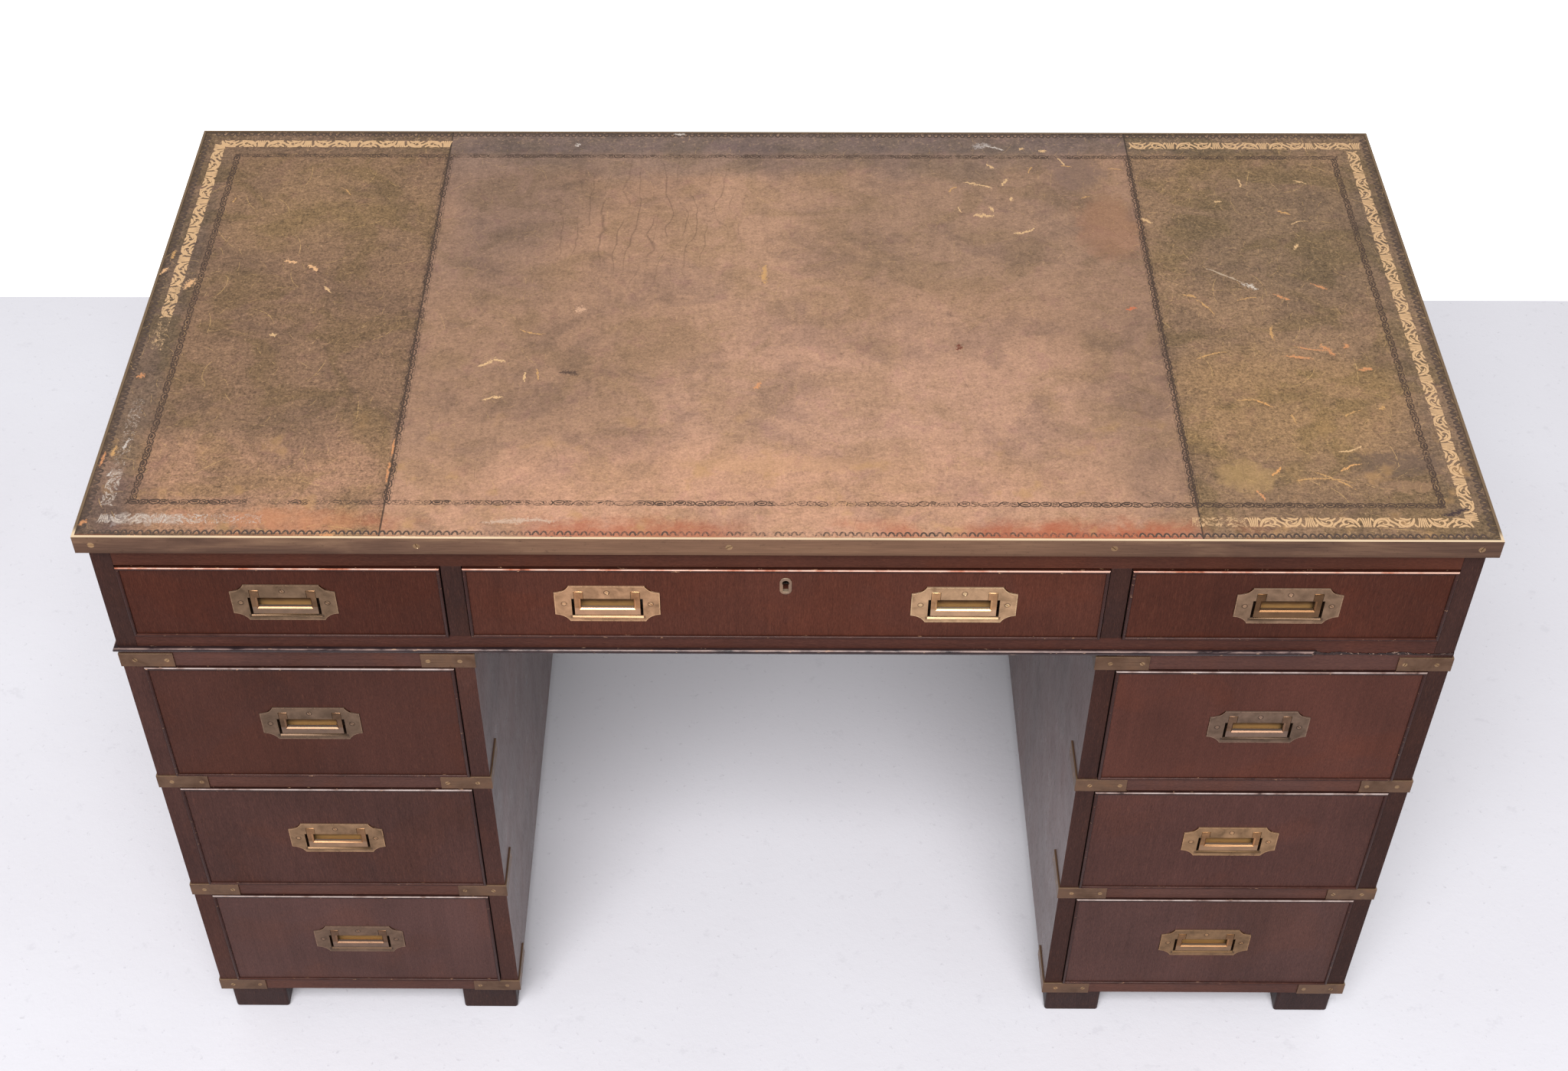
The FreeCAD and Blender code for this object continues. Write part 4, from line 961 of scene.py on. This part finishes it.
# Scuffs on the leather: place, length and width in millimetres, direction in degrees, bend in tenths,
# colour
CREAM = (218, 178, 130)
ORANGE = (214, 146, 96)
PEACH = (228, 178, 130)
OCHRE = (198, 152, 98)
BROWN = (74, 54, 46)
SILVER = (198, 186, 176)
SCUFFS = [
    (211, 243, 11, 4, -50, 1, CREAM), (190, 211, 15, 4.2, -25, 5, CREAM), (200, 207, 20, 3, -18, 6, CREAM),
    (171, 202, 12, 2.8, 50, 5, OCHRE), (225, 216, 15, 4, 62, 1, CREAM), (199, 158, 20, 5.8, 2, 1, CREAM),
    (208, 169, 9, 4, 110, 1, CREAM), (176, 168, 10, 2.4, 110, 2, CREAM), (229, 186, 7, 4, 80, 1, CREAM),
    (237, 134, 24, 4.2, 22, -6, CREAM), (285, 251, 14, 2.2, -65, 2, CREAM),
    (290, 243, 12, 1.8, -10, 1, OCHRE), (252, 236, 12, 1.8, 65, 2, OCHRE), (304, 189, 10, 1.8, 20, 2, OCHRE),
    (361, 150, 14, 3.6, -38, 1, CREAM), (340, 238, 14, 1.8, -10, 2, OCHRE),
    (-277, -71, 20, 3.8, 38, -3, CREAM), (-266, -69, 12, 3.6, -12, 2, CREAM),
    (-240, -93, 15, 2.2, 92, 1, CREAM), (-229, -89, 16, 2, -78, 2, OCHRE),
    (-267, -123, 18, 3.4, 12, 4, CREAM), (-238, -26, 24, 2.6, -14, -5, OCHRE),
    (-19, 62, 30, 5.8, 88, 1, OCHRE), (-195, 6, 11, 9, 20, 0, (214, 170, 138)),
    (-483, 79, 14, 5, -14, 2, PEACH), (-460, 70, 13, 5.5, -40, 2, PEACH), (-441, 36, 13, 2.8, -48, 2, CREAM),
    (-482, -33, 7, 6, 0, 0, CREAM), (-446, 196, 17, 1.8, -50, 5, OCHRE), (-556, 180, 12, 2, 80, 2, OCHRE),
    (-25, -103, 12, 4.2, 60, 2, ORANGE), (-200, -87, 18, 7, -6, 1, BROWN),
    (162, -48, 10, 5.8, 90, 1, (110, 52, 34)), (330, 10, 11, 5, 20, 1, (196, 112, 76)),
    (515, 46, 17, 3.4, -32, -3, ORANGE), (476, 29, 16, 3.4, -28, -2, ORANGE),
    (448, 45, 16, 5.8, -34, 1, (206, 192, 178)), (427, 60, 40, 2.4, -35, 1, (186, 164, 140)),
    (503, 108, 10, 4.6, 62, 2, CREAM), (525, 216, 14, 2.4, -24, 3, CREAM), (463, 215, 14, 2.6, -85, 2, CREAM),
    (500, 164, 13, 3.4, -30, 1, OCHRE), (512, 147, 16, 1.8, 22, 5, CREAM), (437, 182, 8, 2.8, 0, 1, CREAM),
    (505, -51, 20, 5.2, -62, 2, ORANGE), (476, -61, 26, 4.2, -8, 1, ORANGE),
    (490, -47, 28, 2, -12, -4, ORANGE), (535, -78, 14, 4.8, 6, 1, ORANGE), (524, -45, 8, 4.6, 40, 1, ORANGE),
    (459, -26, 22, 3, 85, 4, OCHRE), (396, -60, 30, 2, 20, 4, OCHRE),
    (432, -126, 20, 2.8, -34, 3, (214, 158, 96)), (420, -122, 18, 1.8, 4, 2, OCHRE),
    (500, -187, 22, 2.6, 18, -4, CREAM), (497, -212, 22, 3, 26, 4, (220, 164, 104)),
    (458, -146, 14, 2.6, 100, 2, OCHRE), (430, -216, 16, 3, 50, -4, (220, 158, 96)),
    (480, -230, 40, 2.2, -36, 3, OCHRE), (470, -232, 52, 1.8, -2, 5, OCHRE),
    (412, -248, 14, 2.4, -64, 3, ORANGE), (512, -140, 20, 2, 30, 3, OCHRE), (540, -132, 8, 4, 30, 1, OCHRE),
    (388, 30, 12, 3.8, -20, 1, OCHRE), (400, 12, 26, 2.2, -58, 4, OCHRE), (443, 25, 24, 1.8, 14, 3, OCHRE),
    (576, -268, 24, 5.2, 18, 1, (58, 42, 46)), (205, 279, 18, 9, 20, 1, (178, 166, 160)),
    (215, 276, 26, 3, -20, 2, SILVER), (246, 274, 6, 4, 40, 0, CREAM), (268, 270, 8, 5, 20, 1, CREAM),
    (-110, 299, 12, 4, 0, 1, SILVER), (-215, 279, 7, 5, 30, 1, SILVER), (-575, 44, 18, 7, 70, 2, PEACH),
    (-604, 64, 12, 3.6, 60, 1, PEACH), (-600, 90, 16, 3.4, 80, 1, OCHRE), (-594, -92, 9, 6, 20, 1, ORANGE),
    (-596, -195, 15, 4, 85, 1, OCHRE), (-604, -205, 20, 2.2, 88, 1, ORANGE),
    (-349, -190, 22, 2.6, 90, 0, ORANGE), (-350, -222, 26, 3, 90, 0, ORANGE),
    (-604, -286, 10, 5, 40, 1, ORANGE), (-560, -302, 30, 2.2, 0, 0, ORANGE),
    (-392, -300, 12, 4, 0, 0, ORANGE), (-382, -303, 10, 1.8, 0, 0, BROWN), (-200, -302, 60, 2, 0, 0, BROWN),
    (-330, -302, 30, 1.8, 0, 0, (230, 214, 188)), (-230, -283, 60, 6, 2, 1, (196, 166, 144)),
    (-587, -186, 14, 3.4, 82, 2, SILVER), (-594, -225, 7, 3, 70, 2, SILVER),
]


def make_scuffs():
    """Each scuff is a thin closed patch with a pointed outline, on top of the leather and its tooling."""
    points, faces, weights, tints, strengths = [], [], [], [], []
    bottom = LEATHER_TOP - SINK
    dice = random.Random(31)
    count = 9
    for number, (*sizes, turn, bend, tone) in enumerate(SCUFFS):
        x, y, length, width = (v * MM for v in sizes)
        top = LEATHER_TOP + SCUFF_LIFT + number * 0.000001
        cos = math.cos(math.radians(turn))
        sin = math.sin(math.radians(turn))
        strength = min(0.95, 0.95 - (width - 0.005) * 50) * (0.85 if tone == ORANGE else 1)
        faces += loft(len(points), count, 5)
        for i in range(count):
            t = i / (count - 1) * 2 - 1
            half = width * (0.08 + 0.66 * dice.uniform(0.55, 1.25) * math.sqrt(max(0.0, 1 - t * t)))
            mid = bend * length * 0.025 * (1 - t * t) + width * dice.uniform(-0.22, 0.22)
            u = t * length * 0.6
            for across, z, weight in ((half, top, 0.0), (0, top, 1.0), (-half, top, 0.0),
                                      (-half, bottom, 0.0), (half, bottom, 0.0)):
                v = mid + across
                px = x + u * cos - v * sin
                py = y + u * sin + v * cos
                points.append((min(max(px, -LEATHER_X), LEATHER_X), min(max(py, -LEATHER_Y), LEATHER_Y), z))
                weights.append(weight * (1 - t ** 4))
                tints += linear(*tone)
                strengths.append(strength)
    piece = closed_piece("leather_scuffs", points, faces, scuff_material())
    note(piece, "weight", "FLOAT", "value", weights)
    note(piece, "strength", "FLOAT", "value", strengths)
    note(piece, "tint", "FLOAT_COLOR", "color", tints)
    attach(piece, "desk")


def make_tooling():
    dice = random.Random(7)
    dark = tooling_material("pressed_arches", (80, 64, 56), 1.9, 0, 0.32)
    # pale is the colour of the painted highlights inside the arches
    pale = tooling_material("arch_lights", (196, 154, 122), 1.8, 0, 0.3)
    brown = tooling_material("pressed_chain", (75, 57, 47), 1.8, 0, 0.3)
    gold = tooling_material("gold_leaf", (228, 187, 141), 1.25, 0.22, 0.12)
    silver = tooling_material("worn_gilt", (204, 188, 174), 2.8, 0.1, 0.3)
    arches, lights = arch_rows(dice)
    arches.make("leather_arch_row", dark)
    lights.make("leather_arch_lights", pale)
    chain_rows(dice).make("leather_chain_border", brown)
    gilt_rows(dice).make("leather_gilt_band", gold)
    worn_gilt_rows(dice).make("leather_worn_gilt", silver)


def soften(node, width):
    """Rounds a CAD piece's sharp edges a little, as its maker and its years have done."""
    weld = node.modifiers.new("weld", "WELD")
    weld.merge_threshold = 0.00001
    bevel = node.modifiers.new("soft_edges", "BEVEL")
    bevel.width = width
    bevel.segments = 3 if width > 0.001 else 2
    bevel.limit_method = "ANGLE"
    bevel.angle_limit = math.radians(30)
    bevel.harden_normals = True


def give(node, *materials):
    node.data.materials.clear()
    for material in materials:
        node.data.materials.append(material)


def split_faces(node, sort):
    """Gives each face the material that sort chooses by its middle and its direction."""
    for face in node.data.polygons:
        face.material_index = sort(face.center, face.normal)


def split_front(node, low, high):
    """Sorts a drawer front's faces: 0 its board, 1 the bead on top, 2 the other beads, 3 its sides, in
    painted shade.
    """
    rim = 0.0032

    def sort(middle, normal):
        x, y, z = middle
        if abs(normal.x) > 0.9 and (x < low[0] + 0.0001 or x > high[0] - 0.0001):
            return 3
        if y > low[1] + 0.006:
            return 0
        if z > high[2] - rim and low[0] + rim * 0.5 < x < high[0] - rim * 0.5:
            return 1
        return 0 if low[0] + rim < x < high[0] - rim and z > low[2] + rim else 2

    split_faces(node, sort)


def dress():
    wood = {name: wood_material("mahogany_" + name, *how) for name, how in WOODS.items()}
    # The two colours before each amount are the painted highlight, partly worn wood, on the bead's crown
    pink_bead = bead_material("top_beads_frieze", (198, 122, 94), (232, 188, 168), 0.95, (60, 29, 22))
    grey_bead = bead_material("top_beads_pedestals", (152, 126, 118), (198, 180, 174), 0.82, (54, 31, 27))
    side_bead = bead_material("side_beads", (98, 58, 47), (120, 78, 65), 0.22, (60, 33, 28))
    rough = bare_wood_material("inner_wood", 0, (150, 104, 70), (96, 62, 42), 2)
    steel = steel_material()
    strap = brass_material("strap_brass", (113, 87, 69), (152, 124, 98), 0.42, 0.8, 0.4)
    screw = brass_material("screw_brass", (160, 130, 98), (206, 174, 134), 0.38, 0.9, 0.4)
    keyhole = brass_material("escutcheon_brass", (138, 114, 96), (196, 172, 146), 0.36)
    # Nodes of one material each, by how their names end, and how far their edges are rounded
    plain = {
        "leather_panel": (leather_material(), 0),
        "writing_top": (rough, 0),
        "drawer_runners": (rough, 0),
        "lock_case": (steel, 0),
        "lock_bolt": (steel, 0),
        "brass_edge_band": (band_material(), 0),
        "corner_straps": (strap, 0.0002),
        "brass_screws": (screw, 0.00025),
        "keyhole_escutcheon": (keyhole, 0.0002),
        "frieze_bead_moulding": (dark_bead_material(), 0.0003),
        "_drawer_box": (bare_wood_material("drawer_lining", 1, (186, 140, 98), (128, 86, 56)), 0.0004),
        "frieze_top_rail": (wood["top_rail"], 0.0005),
        "frieze_bottom_board": (wood["under_rail"], 0.0005),
        "pedestal_boards": (wood["rails"], 0.0005),
        "carcass_backs": (wood["upright"], 0.0006),
        "block_feet": (wood["feet"], 0.0022),
    }
    number = 0
    for name, node in nodes.items():
        low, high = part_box(name)
        for ending, (material, width) in plain.items():
            if name.endswith(ending):
                give(node, material)
                if width:
                    soften(node, width)
        if name.endswith("_pull"):
            tone = PULL_TONES[name.removesuffix("_pull")]
            # worn is the colour of the painted highlight, with some wear, where the casting faces up
            worn = scaled(tone, [1.06] * 3, 12)
            give(node, pull_material(name, tone, (low, high), worn, True))
            soften(node, 0.0005)
        elif name.endswith("_bail"):
            stem = name.removesuffix("_bail")
            tone = PULL_TONES[stem]
            # worn is the colour of the bar's wear and of the painted highlight where the bail faces up
            worn = brighter(tone, [1.05] * 3, (212, 184, 156), 30)
            tone = scaled(tone, (0.96, 0.9, 0.84))
            if stem == "right_frieze":
                tone, worn = (96, 72, 52), (132, 102, 76)
            give(node, pull_material(name, tone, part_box(stem + "_pull"), worn, False))
            soften(node, 0.0005)
        elif name.endswith("_front"):
            number += 1
            tone = FRONT_TONES[name.removesuffix("_drawer_front")]
            light, dark = scaled(tone, [1.12] * 3), scaled(tone, [0.88] * 3)
            face = wood_material("front_" + name, 2, light, dark, 4 + number)
            give(node, face, pink_bead if "_frieze_" in name else grey_bead, side_bead, wood["unlit_edges"])
            split_front(node, low, high)
            soften(node, 0.0004)
        elif name.endswith("pedestal_sides"):
            give(node, wood["stiles"], wood["flanks"], wood["unlit_edges"])
            middle = (low[0] + high[0]) / 2

            # Outer faces are the flanks; faces that look into the pedestal get painted shade
            def sort(place, normal):
                if abs(normal.x) < 0.7:
                    return 0
                return 1 if (place.x - middle) * normal.x > 0 else 2

            split_faces(node, sort)
            soften(node, 0.0006)
        elif name in ("frieze_sides", "frieze_partitions"):
            give(node, wood["posts"], wood["upright"])
            split_faces(node, lambda place, normal: 0 if normal.y < -0.7 else 1)
            soften(node, 0.0006)


def make_bead_remains():
    """A ragged strip where the bead moulding has broken away, from its slanted end to the corner."""
    dice = random.Random(19)
    low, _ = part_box("frieze_bead_moulding")
    face = low[1] + 0.004
    start, end = 0.4775, 0.6018
    count = int((end - start) / 0.0013) + 1
    points = []
    tall = 0.0034
    for i in range(count):
        x = start + i * (end - start) / (count - 1)
        tall += dice.uniform(-0.0008, 0.0008)
        tall = min(max(tall, 0.0012), 0.005)
        proud = dice.uniform(0.0004, 0.0012)
        foot = low[2] + dice.uniform(0.0, 0.0005)
        points += [(x, face - proud, foot), (x, face - proud * 0.7, foot + tall),
                   (x, face + 0.0002, foot + tall * 1.04), (x, face + 0.0002, foot)]
    piece = closed_piece("bead_remains", points, loft(0, count, 4), splinter_material())
    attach(piece, "desk")


make_camera()
make_stage()
make_lights()
dress()
make_bead_remains()
make_tooling()
make_scuffs()

bpy.context.scene.view_settings.view_transform = "Standard"
